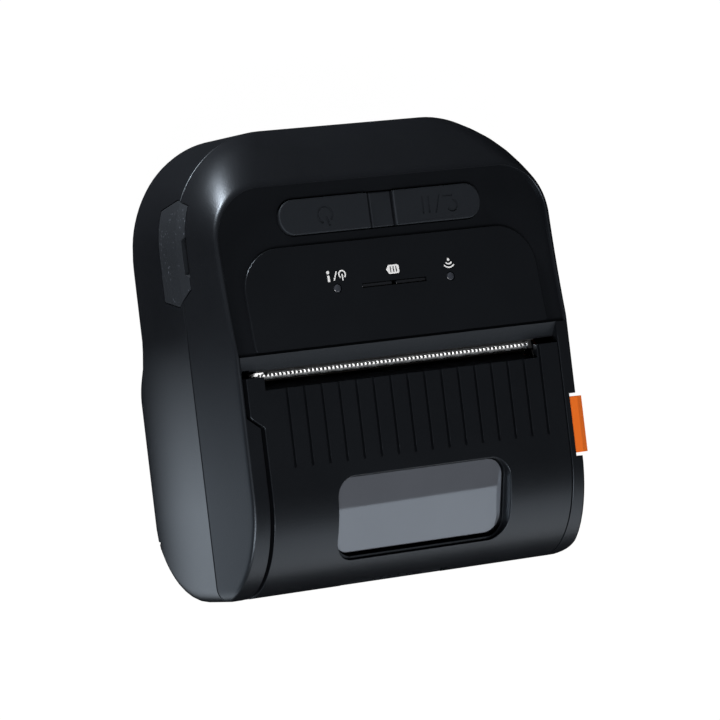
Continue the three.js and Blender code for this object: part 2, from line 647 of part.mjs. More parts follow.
function releaseLever() {
  const outerX = body.halfWidth;
  const pad = prismY([
    [padX.inner, lever.padBackZ], [outerX - lever.chamfer, lever.padBackZ],
    [outerX, lever.padBackZ + lever.chamfer], [outerX, lever.padFrontZ - lever.outerFall],
    [padX.ridge, lever.padFrontZ], [padX.inner, lever.padFrontZ - lever.frontFall],
  ], lever.bottomY, lever.topY);
  const innerBack = lever.pegZ - lever.pegRadius;
  const arm = prismX([
    [lever.bottomY, lever.armLowZ + gap], [lever.bottomY, lever.armTopZ], [lever.topY, lever.armTopZ],
    [lever.pivotY, lever.pivotZ + lever.eyeRadius],
    [lever.pivotY + lever.eyeRadius, lever.pivotZ],
    [lever.pegY + lever.pegRadius, lever.pegZ + lever.pegRadius],
    [lever.pegY + lever.pegRadius, innerBack], [lever.pegY - lever.pegRadius, innerBack],
    [lever.pivotY, lever.pivotZ - lever.eyeRadius], [lever.topY, lever.armLowZ],
  ].reverse(), leverX.low, leverX.high);
  const bridge = block(leverX.low, padX.inner + gap, lever.bottomY + gap, lever.topY - gap,
    lever.padBackZ, lever.armTopZ);
  const peg = rodX(lever.pegY, lever.pegZ, lever.pegRadius, hookX.low, leverX.low + gap, round.rod);
  return joined(arm, pad, bridge, peg)
    .subtract(rodX(lever.pivotY, lever.pivotZ, lever.pivotRadius + runningGap, 0, body.halfWidth));
}

function latchShaft() {
  const hookOutline = [
    [latch.y - latch.heelY, latch.z - latch.heelZ], [latch.y + latch.backY, latch.z + latch.backZ],
    [platenY + latch.noseY, platenZ + latch.noseZ], [platenY + latch.tipY, platenZ + latch.tipTopZ],
    [platenY + latch.tipY, platenZ + latch.tipLowZ], [platenY + latch.throatY, platenZ + latch.throatZ],
  ];
  const hooks = [[hookX.low, hookX.high], [-hookX.high, -hookX.low]].map(([x0, x1]) => joined(
    rodX(latch.y, latch.z, latch.bossRadius, x0, x1),
    prismX(hookOutline, x0, x1),
  ));
  const shaft = rodX(latch.y, latch.z, latch.shaftRadius, -hookX.high, hookX.high);
  return joined(shaft, ...hooks);
}

function paperCover() {
  const far = 2 * body.halfLength;
  const outline = [
    [coverRightX, -far], [coverRightX, cover.earTopY], [notchX.right, cover.earTopY],
    [notchX.right, cover.topY], [notchX.left, cover.topY], [notchX.left, cover.earTopY],
    [cover.leftGap - earLeftX, cover.earTopY], [cover.leftGap - earLeftX, legs.kinkY],
    [coverLeftX, legs.kinkY - legs.kinkLength], [coverLeftX, -far],
  ];
  const column = prismZ(outline, cover.bottomZ, far);
  let skin = bodySolid(0).intersect(column).subtract(bodySolid(cover.wall));
  const inner = bodySolid(cover.wall / 2);
  const skirtLow = -body.halfLength + body.frontEndLength / 2;
  const skirtZ = platenZ + cover.skirtRise;
  [[coverRightX - cover.skirt, coverRightX], [coverLeftX, coverLeftX + cover.skirt]]
    .forEach(([x0, x1]) => {
      skin = skin.add(block(x0, x1, skirtLow, legs.kinkY - legs.kinkLength, skirtZ, far).intersect(inner));
    });
  const stiffY = cover.stiffenerY;
  const stiffZ = body.frontZ - cover.wall - cover.stiffenerDepth;
  const stiffener = block(coverLeftX, coverRightX, stiffY - cover.skirt, stiffY, stiffZ, far);
  skin = skin.add(stiffener.intersect(inner));
  [[armX.low, armX.high], [-armX.high, -armX.low]].forEach(([x0, x1]) => {
    const eye = rodX(platenY, platenZ, platen.armRadius, x0, x1);
    const web = block(x0, x1, stiffY - cover.skirt, platenY + platen.armRadius - platen.webInset,
      platenZ, far);
    skin = skin.add(eye.add(web.intersect(inner)));
    skin = skin.subtract(rodX(platenY, platenZ, platen.bushRadius + runningGap, x0 - gap, x1 + gap));
  });
  [pinX.low, pinX.high - hinge.knuckleWidth].forEach((x) => {
    skin = skin.add(rodX(hingeY, hingeZ, hinge.knuckleRadius, x, x + hinge.knuckleWidth));
  });
  skin = skin.subtract(rodX(hingeY, hingeZ, hinge.pinRadius + runningGap, -far, far));
  skin = skin.subtract(block(hinge.notchLeft, hinge.notchRight, -far, hingeY + overrun, 0,
    cover.bottomZ + hinge.notchHeight));
  for (let i = 0; i < cover.ribCount; i += 1) {
    const x = cover.ribCentreX + (i - (cover.ribCount - 1) / 2) * cover.ribPitch;
    const low = windowTopY + cover.ribGap;
    skin = skin.subtract(prismX([
      [cover.topY + overrun, body.frontZ + overrun], [low, body.frontZ + overrun], [low, body.frontZ],
      [low + 2 * overrun, body.frontZ - cover.ribDepth], [cover.topY + overrun, body.frontZ - cover.ribDepth],
    ], x - cover.ribWidth / 2, x + cover.ribWidth / 2));
  }
  return windowWell(skin);
}

function windowOutline(grow) {
  const r = window_.corner + grow;
  const half = window_.halfWidth + grow;
  return roundedOutline(window_.centreX - half, window_.centreX + half,
    windowLowY - grow, windowTopY + grow, [r, r, r, r], round.corner);
}

// Slab along the tilted plane of the window, between two heights above its back face
function lensBand(low, high) {
  const slope = (window_.lensTopZ - window_.lensBottomZ) / (windowTopY - windowLowY);
  const y0 = windowLowY - overrun;
  const y1 = windowTopY + overrun;
  const at = (y) => window_.lensBottomZ - window_.lensThickness + slope * (y - windowLowY);
  const reach = body.halfWidth + overrun;
  const outline = [[y0, at(y0) + low], [y1, at(y1) + low], [y1, at(y1) + high], [y0, at(y0) + high]];
  return prismX(outline, -reach, reach);
}

function windowWell(skin) {
  const far = 2 * body.halfLength;
  const depth = window_.ledge;
  const wall = prismZ(windowOutline(window_.wellWall), 0, far)
    .intersect(bodySolid(cover.wall / 2)).intersect(lensBand(-depth, far));
  const bore = prismZ(windowOutline(0), 0, far).intersect(lensBand(-gap, far));
  const sight = prismZ(windowOutline(-window_.ledge), 0, far);
  return skin.add(wall).subtract(bore).subtract(sight);
}

function coverWindow() {
  const far = 2 * body.halfLength;
  return prismZ(windowOutline(-gap / 2), 0, far).intersect(lensBand(0, window_.lensThickness));
}

function windowBezel() {
  const far = 2 * body.halfLength;
  const top = window_.lensThickness + gap / 3;
  return prismZ(windowOutline(-gap / 2), 0, far).intersect(lensBand(top, top + window_.bezelRise))
    .subtract(prismZ(windowOutline(-window_.bezel), 0, far)).intersect(bodySolid(gap));
}

function tearBar() {
  const { lowY, lowZ, rise, thickness } = tear;
  const half = thickness * Math.SQRT2;
  const face = [
    [lowY, lowZ], [lowY + half, lowZ],
    [lowY + rise + half / 2, lowZ + rise - half / 2], [lowY + rise, lowZ + rise],
  ];
  let bar = prismX(face, -tearX.left, tearX.right);
  const flange = prismX([
    [tear.flangeY, tear.flangeBottomZ], [tear.flangeY + thickness, tear.flangeBottomZ],
    [tear.flangeY + thickness, lowZ + rise - half], [tear.flangeY, lowZ + rise - half],
  ], -Math.min(tearX.left, plateX.low - mech.endGap), Math.min(tearX.right, plateX.low - mech.endGap));
  bar = bar.add(flange);
  const count = Math.floor((tearX.left + tearX.right) / tear.toothPitch);
  const top = lowZ + rise + thickness;
  const teeth = [[-tearX.left, top]];
  for (let i = 0; i < count; i += 1) {
    const x = -tearX.left + i * tear.toothPitch;
    teeth.push([x, lowZ + rise - tear.toothDepth], [x + tear.toothPitch / 2, lowZ + rise]);
  }
  teeth.push([tearX.right, lowZ + rise - tear.toothDepth], [tearX.right, top]);
  const cut = prismY(teeth.reverse(), lowY - overrun, lowY + rise + overrun);
  const tab = prismX([
    [cover.earTopY + gap, lowZ + rise - half], [cover.earTopY + gap + tear.tabDepth, lowZ + rise - half],
    [cover.earTopY + gap + tear.tabDepth, lowZ + rise - gap], [cover.earTopY + gap, lowZ + rise - gap],
  ], -tearX.tab, -tearX.left + tear.toothPitch);
  return bar.subtract(cut).add(tab);
}

function mechanismFrame() {
  const { plate, frameBottomZ, frameBackY, frameFrontY, frameTopZ, wallY } = mech;
  const sides = [[plateX.low, plateX.high], [-plateX.high, -plateX.low]].map(([x0, x1], i) => {
    const backTop = motorY + motor.radius;
    const outline = i === 0 ? [
      [frameFrontY, frameBottomZ], [backTop, frameBottomZ], [backTop, motorZ + motor.radius],
      [motorY - motor.radius, motorZ + motor.radius], [wallY + plate, frameTopZ - mech.cornerDrop],
      [frameFrontY, frameTopZ],
    ] : [
      [frameFrontY, frameBottomZ], [frameBackY, frameBottomZ], [frameBackY, latch.z + 2 * latch.bossRadius],
      [wallY + plate, frameTopZ - mech.cornerDrop], [frameFrontY, frameTopZ],
    ];
    return prismX(outline, x0, x1);
  });
  const base = block(-plateX.high, plateX.high, frameFrontY, frameBackY, frameBottomZ, frameBottomZ + plate);
  const wall = block(-plateX.high, plateX.high, wallY, wallY + plate, mech.wallBottomZ, mech.wallTopZ);
  const railY = tear.flangeY + tear.thickness + gap;
  const rail = block(-plateX.high, plateX.high, railY, railY + mech.railThickness,
    head.sinkTopZ + gap, head.sinkTopZ + gap + mech.railHeight);
  let frame = joined(...sides, base, wall, rail);
  frame = frame.subtract(rodX(latch.y, latch.z, latch.shaftRadius + runningGap, -hookX.high, hookX.high));
  [[firstY, firstZ], [secondY, secondZ]].forEach(([y, z]) => {
    frame = frame.subtract(rodX(y, z, gears.axleRadius + runningGap, 0, hookX.high));
  });
  return frame.subtract(rodX(motorY, motorZ, motor.bossRadius + runningGap, 0, hookX.high));
}

// Gear train from the platen down to the motor, all in one plane
const wheelRadius = (teeth) => (gears.module * teeth) / 2;
const degree = Math.PI / 180;
const trainTurns = { first: -79 * degree, second: -5 * degree, pinion: 17.5 * degree };
const firstReach = wheelRadius(gears.platenTeeth) + wheelRadius(gears.firstTeeth);
const secondReach = wheelRadius(gears.firstTeeth) + wheelRadius(gears.secondTeeth);
const pinionReach = wheelRadius(gears.secondTeeth) + wheelRadius(gears.pinionTeeth);
const firstY = platenY + firstReach * Math.cos(trainTurns.first);
const firstZ = platenZ + firstReach * Math.sin(trainTurns.first);
const secondY = firstY + secondReach * Math.cos(trainTurns.second);
const secondZ = firstZ + secondReach * Math.sin(trainTurns.second);
const motorY = secondY + pinionReach * Math.cos(trainTurns.pinion);
const motorZ = secondZ + pinionReach * Math.sin(trainTurns.pinion);

// Angle of a tooth on the driven wheel that lets the driver's tooth at angle phase mesh with it
function meshedPhase(phase, teeth, turn, nextTeeth) {
  const pitch = (2 * Math.PI) / teeth;
  const ahead = (turn - phase) / pitch - Math.floor((turn - phase) / pitch);
  const nextPitch = (2 * Math.PI) / nextTeeth;
  return turn + Math.PI + (ahead + 0.5) * nextPitch;
}

const firstPhase = meshedPhase(0, gears.platenTeeth, trainTurns.first, gears.firstTeeth);
const secondPhase = meshedPhase(firstPhase, gears.firstTeeth, trainTurns.second, gears.secondTeeth);
const pinionPhase = meshedPhase(secondPhase, gears.secondTeeth, trainTurns.pinion, gears.pinionTeeth);

// Wheel in the plane across X, its centre at the origin and its low face at x = 0
function wheel(teeth, phase, bore) {
  return prismX(wheelOutline(teeth, gears.module, phase), 0, mech.gearWidth)
    .subtract(rodX(0, 0, bore, -overrun, mech.gearWidth + overrun, round.circle));
}

function rackOutline(x0, x1, side) {
  const pitch = Math.PI * guide.module;
  const bodyLow = gears.dedendumShare * guide.module;
  const depth = (gears.addendumShare + gears.dedendumShare) * guide.module;
  const points = [];
  const first = Math.ceil(x0 / pitch);
  const last = Math.floor(x1 / pitch) - 1;
  const half = (gears.toothShare * pitch) / 2;
  for (let i = first; i <= last; i += 1) {
    const centre = (i + 0.5) * pitch;
    flankShares.forEach(([rise, share]) => {
      points.push([centre + share * half, side * (bodyLow - rise * depth)]);
    });
  }
  const back = side * (bodyLow + guide.rackWidth);
  const outline = [[x0, side * bodyLow], ...points, [x1, side * bodyLow], [x1, back], [x0, back]];
  return side > 0 ? outline : outline.reverse();
}

// Media guide with its rack, for the left side (side = -1) or the right side (side = 1)
function mediaGuide(side) {
  const x0 = side < 0 ? -guideX - guide.thickness : guideX;
  const floorZ = tub.inset + tub.wall + guide.rackGap;
  const plate = rodX(guideY, guide.centreZ, guideRadius, x0, x0 + guide.thickness)
    .subtract(rodX(guideY, guide.centreZ, guide.bore, x0 - overrun, x0 + overrun));
  const pitchRadius = (guide.module * guide.teeth) / 2;
  const rackY = guideY - side * pitchRadius;
  const outerX = guideX + guide.thickness;
  const ends = side < 0 ? [-outerX, guide.rackPast] : [-guide.rackPast, outerX];
  const outline = rackOutline(...ends, -side).map(([x, y]) => [x, y + rackY]);
  const rack = prismZ(outline, floorZ, floorZ + guide.rackHeight);
  const reach = rackY - side * guide.footWidth;
  const foot = block(x0, x0 + guide.thickness, Math.min(rackY, reach), Math.max(rackY, reach),
    floorZ, guide.centreZ - guideRadius + guide.footRise);
  return joined(plate, rack, foot);
}

function mediaTub() {
  const far = 2 * body.halfLength;
  const w = tub.wall;
  const outer = bodySolid(tub.inset)
    .intersect(block(-tubX.left, tubX.right, -far, tub.innerY + w, -overrun, tub.topZ));
  const inner = bodySolid(tub.inset + w).intersect(
    block(-tubX.left + w, tubX.right - w, -far, tub.innerY, -overrun, far));
  const stud = rodZ(0, guideY, guide.pinRadius, tub.inset + w / 2,
    tub.inset + w + guide.rackGap + guide.rackHeight);
  return outer.subtract(inner).add(stud);
}

function guidePinion() {
  const outline = wheelOutline(guide.teeth, guide.module, 0.5 * Math.PI);
  return prismZ(outline, 0, guide.rackHeight - gap / 2)
    .subtract(rodZ(0, 0, guide.pinRadius + runningGap, -overrun, overrun));
}

function batteryPack() {
  const { halfWidth, bottomY, thickness, corner, edge } = battery;
  const topY = batteryTopY;
  const r = [corner, corner, corner, corner];
  const main = prismZ(roundedOutline(-halfWidth, halfWidth, bottomY, topY, r), edge, thickness);
  const shrunk = roundedOutline(edge - halfWidth, halfWidth - edge, bottomY + edge, topY - edge,
    r.map((v) => v - edge));
  const full = roundedOutline(-halfWidth, halfWidth, bottomY, topY, r);
  const base = loft([shrunk.map(([x, y]) => [x, y, 0]), full.map(([x, y]) => [x, y, edge + gap])]);
  const half = battery.tongueHalf + 2 * gap;
  const pocket = block(-half, half, topY - battery.tongueReach, topY + overrun,
    battery.tongueZ - 2 * gap, battery.tongueZ + battery.tongueHeight + 2 * gap);
  return main.add(base).subtract(pocket);
}

function batteryLatch() {
  const low = batteryTopY + gap + battery.wall;
  const y0 = low + gap;
  const y1 = y0 + battery.latchLength;
  const half = battery.latchHalf;
  const flange = half + battery.latchFlange;
  const inner = body.upperBackZ + body.wall + gap;
  const button = block(-half, half, y0, y1, body.upperBackZ - battery.latchProud, inner + gap);
  const plate = block(-flange, flange, y0, y1, inner, inner + battery.latchPlate);
  const tongue = block(-battery.tongueHalf, battery.tongueHalf, batteryTopY - battery.tongueReach / 2, y1,
    battery.tongueZ, battery.tongueZ + battery.tongueHeight);
  const riser = block(-battery.tongueHalf, battery.tongueHalf, y0, y1, inner, battery.tongueZ + gap);
  return joined(button, plate, tongue, riser);
}

function keyBody(x0, x1, radii, lift) {
  const outline = roundedOutline(x0, x1, keyLowY, keyTopY, radii, round.corner);
  const floorDepth = recess.depth - lift;
  return prismZ(outline, body.partingZ, body.frontZ + overrun)
    .intersect(frontBand(floorDepth, recess.depth + keys.bodyDepth, keyLowY - overrun, keyTopY + gap));
}

function pressedKey(x0, x1, radii) {
  const f = keys.flange;
  const insideZ = frontHeight(keyTopY) - body.frontWall - gap;
  const flange = block(x0 + 2 * f, x1 - 2 * f, keyLowY - f, keyTopY + f,
    insideZ - keys.flangeThickness, insideZ);
  const stem = rodZ((x0 + x1) / 2, (keyLowY + keyTopY) / 2, keys.stemRadius,
    insideZ - keys.flangeThickness - keys.stemLength, insideZ, round.rod);
  const cap = keyBody(x0, x1, radii, keys.lift);
  const trim = block(x0 - f, x1 + f, keyLowY - f, keyTopY + f,
    body.partingZ, insideZ - keys.flangeThickness);
  return cap.subtract(trim).add(flange).add(stem);
}

function keyBridge() {
  const insideZ = frontHeight(keyTopY) - body.frontWall - gap;
  const flange = block(keys.bridgeLeftX + gap, keys.bridgeRightX - gap, keyLowY - keys.flange,
    keyTopY + keys.flange, insideZ - keys.flangeThickness, insideZ);
  const trim = block(-overrun, overrun, keyLowY - overrun, keyTopY + overrun, body.partingZ,
    insideZ - keys.flangeThickness);
  return keyBody(keys.bridgeLeftX + gap, keys.bridgeRightX - gap, [gap, gap, gap, gap], keys.bridgeLift)
    .subtract(trim).add(flange);
}

function indicatorPanel() {
  const small = recess.bottomCorner;
  const outline = roundedOutline(-panelHalf, panelHalf, panelLowY, panelTopY,
    [small, small, panel.corner, panel.corner], round.corner);
  let sheet = prismZ(outline, body.partingZ, body.frontZ + overrun)
    .intersect(frontBand(recess.depth - panel.lift - panel.thickness, recess.depth - panel.lift,
      panelLowY - overrun, panelTopY + gap));
  [-lamps.x, lamps.x].forEach((x) => {
    sheet = sheet.subtract(rodZ(x, lampY, lamps.radius + gap / 2, 0, body.frontZ + overrun, round.rod));
  });
  const barHalf = lamps.barHalf + gap / 2;
  const barWide = lamps.barWidth / 2 + gap / 2;
  return sheet.subtract(block(-barHalf, barHalf, lampY - barWide, lampY + barWide,
    0, body.frontZ + overrun));
}

const lampTopZ = frontHeight(lampY) - recess.depth + panel.thickness + lamps.lift;
const lampLowZ = boards.keyZ + boards.thickness + gap / 2;

function statusLens() {
  return rodZ(0, 0, lamps.radius, 0, lampTopZ - lampLowZ, round.rod);
}

function levelLens() {
  const baseTop = frontHeight(lampY) - body.frontWall - gap - lamps.barDrop;
  const wide = lamps.barWidth / 2;
  const base = block(-lamps.barHalf, lamps.barHalf, lampY - lamps.barBase / 2, lampY + lamps.barBase / 2,
    lampLowZ, baseTop);
  const bars = [[-lamps.barHalf, -lamps.barGap / 2], [lamps.barGap / 2, lamps.barHalf]].map(([x0, x1]) => (
    block(x0, x1, lampY - wide, lampY + wide, lampLowZ, lampTopZ - lamps.lift / 2)));
  return joined(base, ...bars);
}

function printHead() {
  const strip = block(-rollerHalf, rollerHalf, headFaceY, headFaceY + head.stripThickness,
    head.stripBottomZ, head.stripBottomZ + head.stripHeight);
  const y0 = headFaceY + head.stripThickness + gap;
  let sink = block(-rollerHalf, rollerHalf, y0, y0 + head.sinkThickness, head.sinkBottomZ, head.sinkTopZ);
  const pitch = (2 * rollerHalf) / head.finCount;
  for (let i = 1; i < head.finCount; i += 1) {
    const x = -rollerHalf + i * pitch;
    sink = sink.subtract(block(x - head.sinkFin / 2, x + head.sinkFin / 2,
      y0 + head.sinkThickness - head.finDepth, y0 + head.sinkThickness + gap,
      head.sinkBottomZ - gap, head.sinkBottomZ + 2 * head.finDepth));
  }
  return { strip, sink, backY: y0 + head.sinkThickness };
}

function socketUsb() {
  const { usbWidth, usbHeight, usbLength, usbMouth } = ports;
  return block(0, usbLength, 0, usbWidth, 0, usbHeight)
    .subtract(block(-gap, usbLength - 2 * usbMouth, usbMouth, usbWidth - usbMouth,
      usbMouth, usbHeight - usbMouth))
    .add(block(usbMouth, usbLength - usbMouth, 2 * usbMouth, usbWidth - 2 * usbMouth,
      usbHeight / 2 - usbMouth / 2, usbHeight / 2 + usbMouth / 2));
}

function socketPower() {
  const { powerWidth, powerHeight, powerLength, powerBore, powerPin } = ports;
  return block(0, powerLength, 0, powerWidth, 0, powerHeight)
    .subtract(rodX(powerWidth / 2, powerHeight / 2, powerBore, -gap, powerLength - 2 * powerPin))
    .add(rodX(powerWidth / 2, powerHeight / 2, powerPin, powerPin, powerLength - powerPin, round.corner));
}

const connectorY = boards.mainBottomY + boards.connectorInset;

function mainBoard() {
  const { mainRightX, mainBottomY, mainZ, mainThickness, chip, chipHeight } = boards;
  const top = mainZ + mainThickness;
  const plate = block(mainLeftX, mainRightX, mainBottomY, mainTopY, mainZ, top)
    .intersect(bodySolid(body.wall + gap));
  const posts_ = screwPlaces.map(([x, y, radius]) => rodZ(x, y, radius + gap, 0, body.frontZ));
  const chipShares = [[-0.1, 0.45], [-0.45, 0.7]];
  const chips = chipShares.map(([shareX, shareY]) => {
    const x = shareX * (mainRightX - mainLeftX) / 2;
    const y = mainBottomY + shareY * (mainTopY - mainBottomY);
    return block(x - chip / 2, x + chip / 2, y - chip / 2, y + chip / 2, mainZ + gap, top + chipHeight);
  });
  const wide = cable.halfWidth + boards.chipHeight;
  const connector = block(-wide, wide, connectorY, connectorY + boards.connectorDepth,
    mainZ + gap, top + boards.connectorHeight);
  return joined(plate, ...chips, connector).subtract(joined(...posts_));
}

function headCable() {
  const y = headFaceY + head.stripThickness + gap + head.sinkThickness / 2;
  const t = cable.thickness;
  const { topZ, runZ, bend } = cable;
  const outer = arc(y + bend, runZ + bend, bend, bend, Math.PI, 1.5 * Math.PI, round.smallCorner);
  const inner = arc(y + bend, runZ + bend, bend - t, bend - t, 1.5 * Math.PI, Math.PI, round.smallCorner);
  const endY = connectorY - gap;
  return prismX([[y, topZ], ...outer, [endY, runZ], [endY, runZ + t], ...inner, [y + t, topZ]],
    -cable.halfWidth, cable.halfWidth);
}

function motorBody() {
  const x1 = plateX.low - gap;
  const can = rodX(0, 0, motor.radius, x1 - motor.length, x1, platen.segments);
  const boss = rodX(0, 0, motor.bossRadius, x1 - gap, x1 + motor.bossHeight);
  return can.add(boss).subtract(rodX(0, 0, motor.shaftRadius + runningGap, x1 - 2 * overrun, x1 + overrun));
}

function screwGeometry() {
  const s = screws;
  const profile = [
    [0, s.socketDepth], [s.socketRadius, s.socketDepth], [s.socketRadius, 0], [s.headRadius, 0],
    [s.headRadius, s.headHeight], [s.shankRadius, s.headHeight], [s.shankRadius, s.length], [0, s.length],
  ].map(([r, z]) => new THREE.Vector2(r, z));
  const lathe = new THREE.LatheGeometry(profile, round.rod);
  return toGeometry(toSolid(lathe.applyMatrix4(new THREE.Matrix4().makeRotationX(Math.PI / 2))));
}

// The pieces
place('rear_shell', rearShell(), 'shell');
place('front_shell', frontShell(), 'shell');
place('indicator_panel', indicatorPanel(), 'panel');
place('power_key', pressedKey(keys.leftX, keys.bridgeLeftX - gap,
  [keys.endRadius, gap, gap, keys.endRadius]), 'rubber');
place('feed_key', pressedKey(keys.bridgeRightX + gap, keys.rightX,
  [gap, keys.endRadius, keys.endRadius, gap]), 'rubber');
place('key_bridge', keyBridge(), 'rubber');
place('status_lens_left', statusLens(), 'lens', [-lamps.x, lampY, lampLowZ]);
place('status_lens_right', statusLens(), 'lens', [lamps.x, lampY, lampLowZ]);
place('battery_level_lens', levelLens(), 'lens');
place('paper_cover', paperCover(), 'shell');
place('cover_window', coverWindow(), 'glass');
place('window_bezel', windowBezel(), 'rubber');
place('tear_bar', tearBar(), 'steel');
place('release_lever', releaseLever(), 'orange');
place('lever_pivot_pin', rodX(0, 0, lever.pivotRadius, leverX.low + runningGap,
  halfWidthAt(lever.pivotZ, body.frontWall / 2) - gap), 'steel', [0, lever.pivotY, lever.pivotZ]);
place('latch_shaft', latchShaft(), 'steel');
const latchTurn = [0, Math.PI / 2, 0];
place('latch_spring', coilGeometry(latch.springRadius, latch.springWire, latch.springTurns,
  latch.springTurns * latch.springWire * 2), 'steel', [latch.springX, latch.y, latch.z], latchTurn);
place('port_cover', bodySolid(0).subtract(bodySolid(ports.thickness))
  .intersect(prismX(portOutline(0, true), -body.halfWidth - overrun, 0)), 'rubber');
place('media_tub', mediaTub(), 'inner');
const guideLeft = mediaGuide(-1);
const guideRight = mediaGuide(1);
place('media_guide_left', guideLeft, 'inner');
place('media_guide_right', guideRight, 'inner');
place('guide_pinion', guidePinion(), 'gear',
  [0, guideY, tub.inset + tub.wall + guide.rackGap + gap / 4]);
const bushHole = platen.shaftRadius + runningGap;
place('platen_roller', rodX(0, 0, platen.radius, -rollerHalf, rollerHalf, platen.segments)
  .subtract(rodX(0, 0, platen.shaftRadius + runningGap / 2, -body.halfWidth, body.halfWidth)), 'rubber',
[0, platenY, platenZ]);
place('platen_shaft', rodX(0, 0, platen.shaftRadius, -hookX.high - gap, gearX.high), 'steel',
  [0, platenY, platenZ]);
[['platen_bush_left', -armX.high], ['platen_bush_right', armX.low]].forEach(([name, x]) => {
  place(name, rodX(0, 0, platen.bushRadius, 0, mech.armWidth)
    .subtract(rodX(0, 0, bushHole, -overrun, overrun)), 'gear', [x, platenY, platenZ]);
});
place('platen_gear', wheel(gears.platenTeeth, 0, platen.shaftRadius + runningGap / 2), 'gear',
  [gearX.low, platenY, platenZ]);
const axleHole = gears.axleRadius + runningGap;
place('first_idler_gear', wheel(gears.firstTeeth, firstPhase, axleHole), 'gear', [gearX.low, firstY, firstZ]);
place('second_idler_gear', wheel(gears.secondTeeth, secondPhase, axleHole), 'gear',
  [gearX.low, secondY, secondZ]);
[['first_idler_axle', firstY, firstZ], ['second_idler_axle', secondY, secondZ]].forEach(([name, y, z]) => {
  place(name, rodX(0, 0, gears.axleRadius, plateX.low, gearX.high), 'steel', [0, y, z]);
});
place('motor_pinion', wheel(gears.pinionTeeth, pinionPhase, motor.shaftRadius + runningGap / 2), 'brass',
  [gearX.low, motorY, motorZ]);
place('motor_shaft', rodX(0, 0, motor.shaftRadius, plateX.low - overrun, gearX.high), 'steel',
  [0, motorY, motorZ]);
place('stepper_motor', motorBody(), 'steel', [0, motorY, motorZ]);
place('mechanism_frame', mechanismFrame(), 'steel');
const thermal = printHead();
place('print_head', thermal.strip, 'ceramic');
place('head_heat_sink', thermal.sink, 'aluminium');
const springLength = mech.wallY - thermal.backY - 2 * gap - head.springWire;
[['head_spring_left', -head.springX], ['head_spring_right', head.springX]].forEach(([name, x]) => {
  place(name, coilGeometry(head.springRadius, head.springWire, head.springTurns, springLength), 'steel',
    [x, thermal.backY + gap + head.springWire / 2, head.springZ], [-Math.PI / 2, 0, 0]);
});
place('head_flat_cable', headCable(), 'gear');
place('main_board', mainBoard(), 'board');
place('key_board', block(-keyBoardHalf, keyBoardHalf, boards.keyBottomY, keyBoardTopY,
  boards.keyZ, boards.keyZ + boards.thickness), 'board');
const keyMidY = (keyLowY + keyTopY) / 2;
[['power_switch', (keys.leftX + keys.bridgeLeftX - gap) / 2],
  ['feed_switch', (keys.rightX + keys.bridgeRightX + gap) / 2]].forEach(([name, x]) => {
  const half = boards.switchSize / 2;
  place(name, block(-half, half, -half, half, 0, boards.switchHeight), 'inner',
    [x, keyMidY, boards.keyZ + boards.thickness]);
});
const boardTopZ = boards.mainZ + boards.mainThickness;
place('usb_socket', socketUsb(), 'steel', [mainLeftX - ports.standback,
  portLowY + ports.usbFromEnd - ports.usbWidth / 2, boardTopZ]);
place('power_socket', socketPower(), 'inner', [mainLeftX - ports.standback,
  portLowY + ports.powerFromEnd - ports.powerWidth / 2, boardTopZ]);
place('media_sensor', block(-sensor.halfWidth, sensor.halfWidth, 0, sensor.depth, 0, sensor.height), 'inner',
  [0, tub.innerY, tub.topZ + gap]);
place('hinge_pin', rodX(0, 0, hinge.pinRadius, pinX.low, pinX.high), 'steel', [0, hingeY, hingeZ]);
const springStart = lugLeftX + hinge.lugWidth + 2 * gap;
const springSpace = lugRightX - 2 * gap - springStart;
place('cover_spring',
  coilGeometry(coverSpring.radius, coverSpring.wire, coverSpring.turns, springSpace), 'steel',
  [springStart, hingeY, hingeZ], [0, Math.PI / 2, 0]);
place('battery_pack', batteryPack(), 'shell');
place('battery_latch', batteryLatch(), 'rubber');
place('battery_contacts', block(-battery.contactHalf, battery.contactHalf, -battery.contactDepth, 0,
  battery.contactZ, battery.contactZ + battery.contactHeight), 'brass',
[0, battery.bottomY - gap - battery.wall - gap / 2, 0]);
screwPlaces.forEach(([x, y, , back], i) => {
  place(`case_screw_${i + 1}`, screwGeometry(), 'steel', [x, y, back + screws.sink]);
});

export default printer;
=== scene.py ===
import bpy
import bmesh
import math
from mathutils import Matrix, Vector


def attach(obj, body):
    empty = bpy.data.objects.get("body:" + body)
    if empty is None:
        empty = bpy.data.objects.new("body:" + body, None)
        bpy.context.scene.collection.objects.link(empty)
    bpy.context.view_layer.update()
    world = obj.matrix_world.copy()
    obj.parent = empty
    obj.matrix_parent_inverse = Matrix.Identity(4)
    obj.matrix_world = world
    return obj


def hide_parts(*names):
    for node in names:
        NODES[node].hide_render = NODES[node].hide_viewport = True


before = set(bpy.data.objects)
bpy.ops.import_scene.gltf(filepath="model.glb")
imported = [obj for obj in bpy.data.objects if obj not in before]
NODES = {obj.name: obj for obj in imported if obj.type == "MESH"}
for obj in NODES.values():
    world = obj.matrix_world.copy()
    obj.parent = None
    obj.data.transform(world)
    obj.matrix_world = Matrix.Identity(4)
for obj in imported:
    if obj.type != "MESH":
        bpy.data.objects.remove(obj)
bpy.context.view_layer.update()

from types import SimpleNamespace as Sizes

SCENE = bpy.context.scene
MM = 0.001
RIGHT = math.pi / 2
WELD, CLOSE, SLIVER, TINY = 2e-4, 1e-4, 1e-5, 1e-6

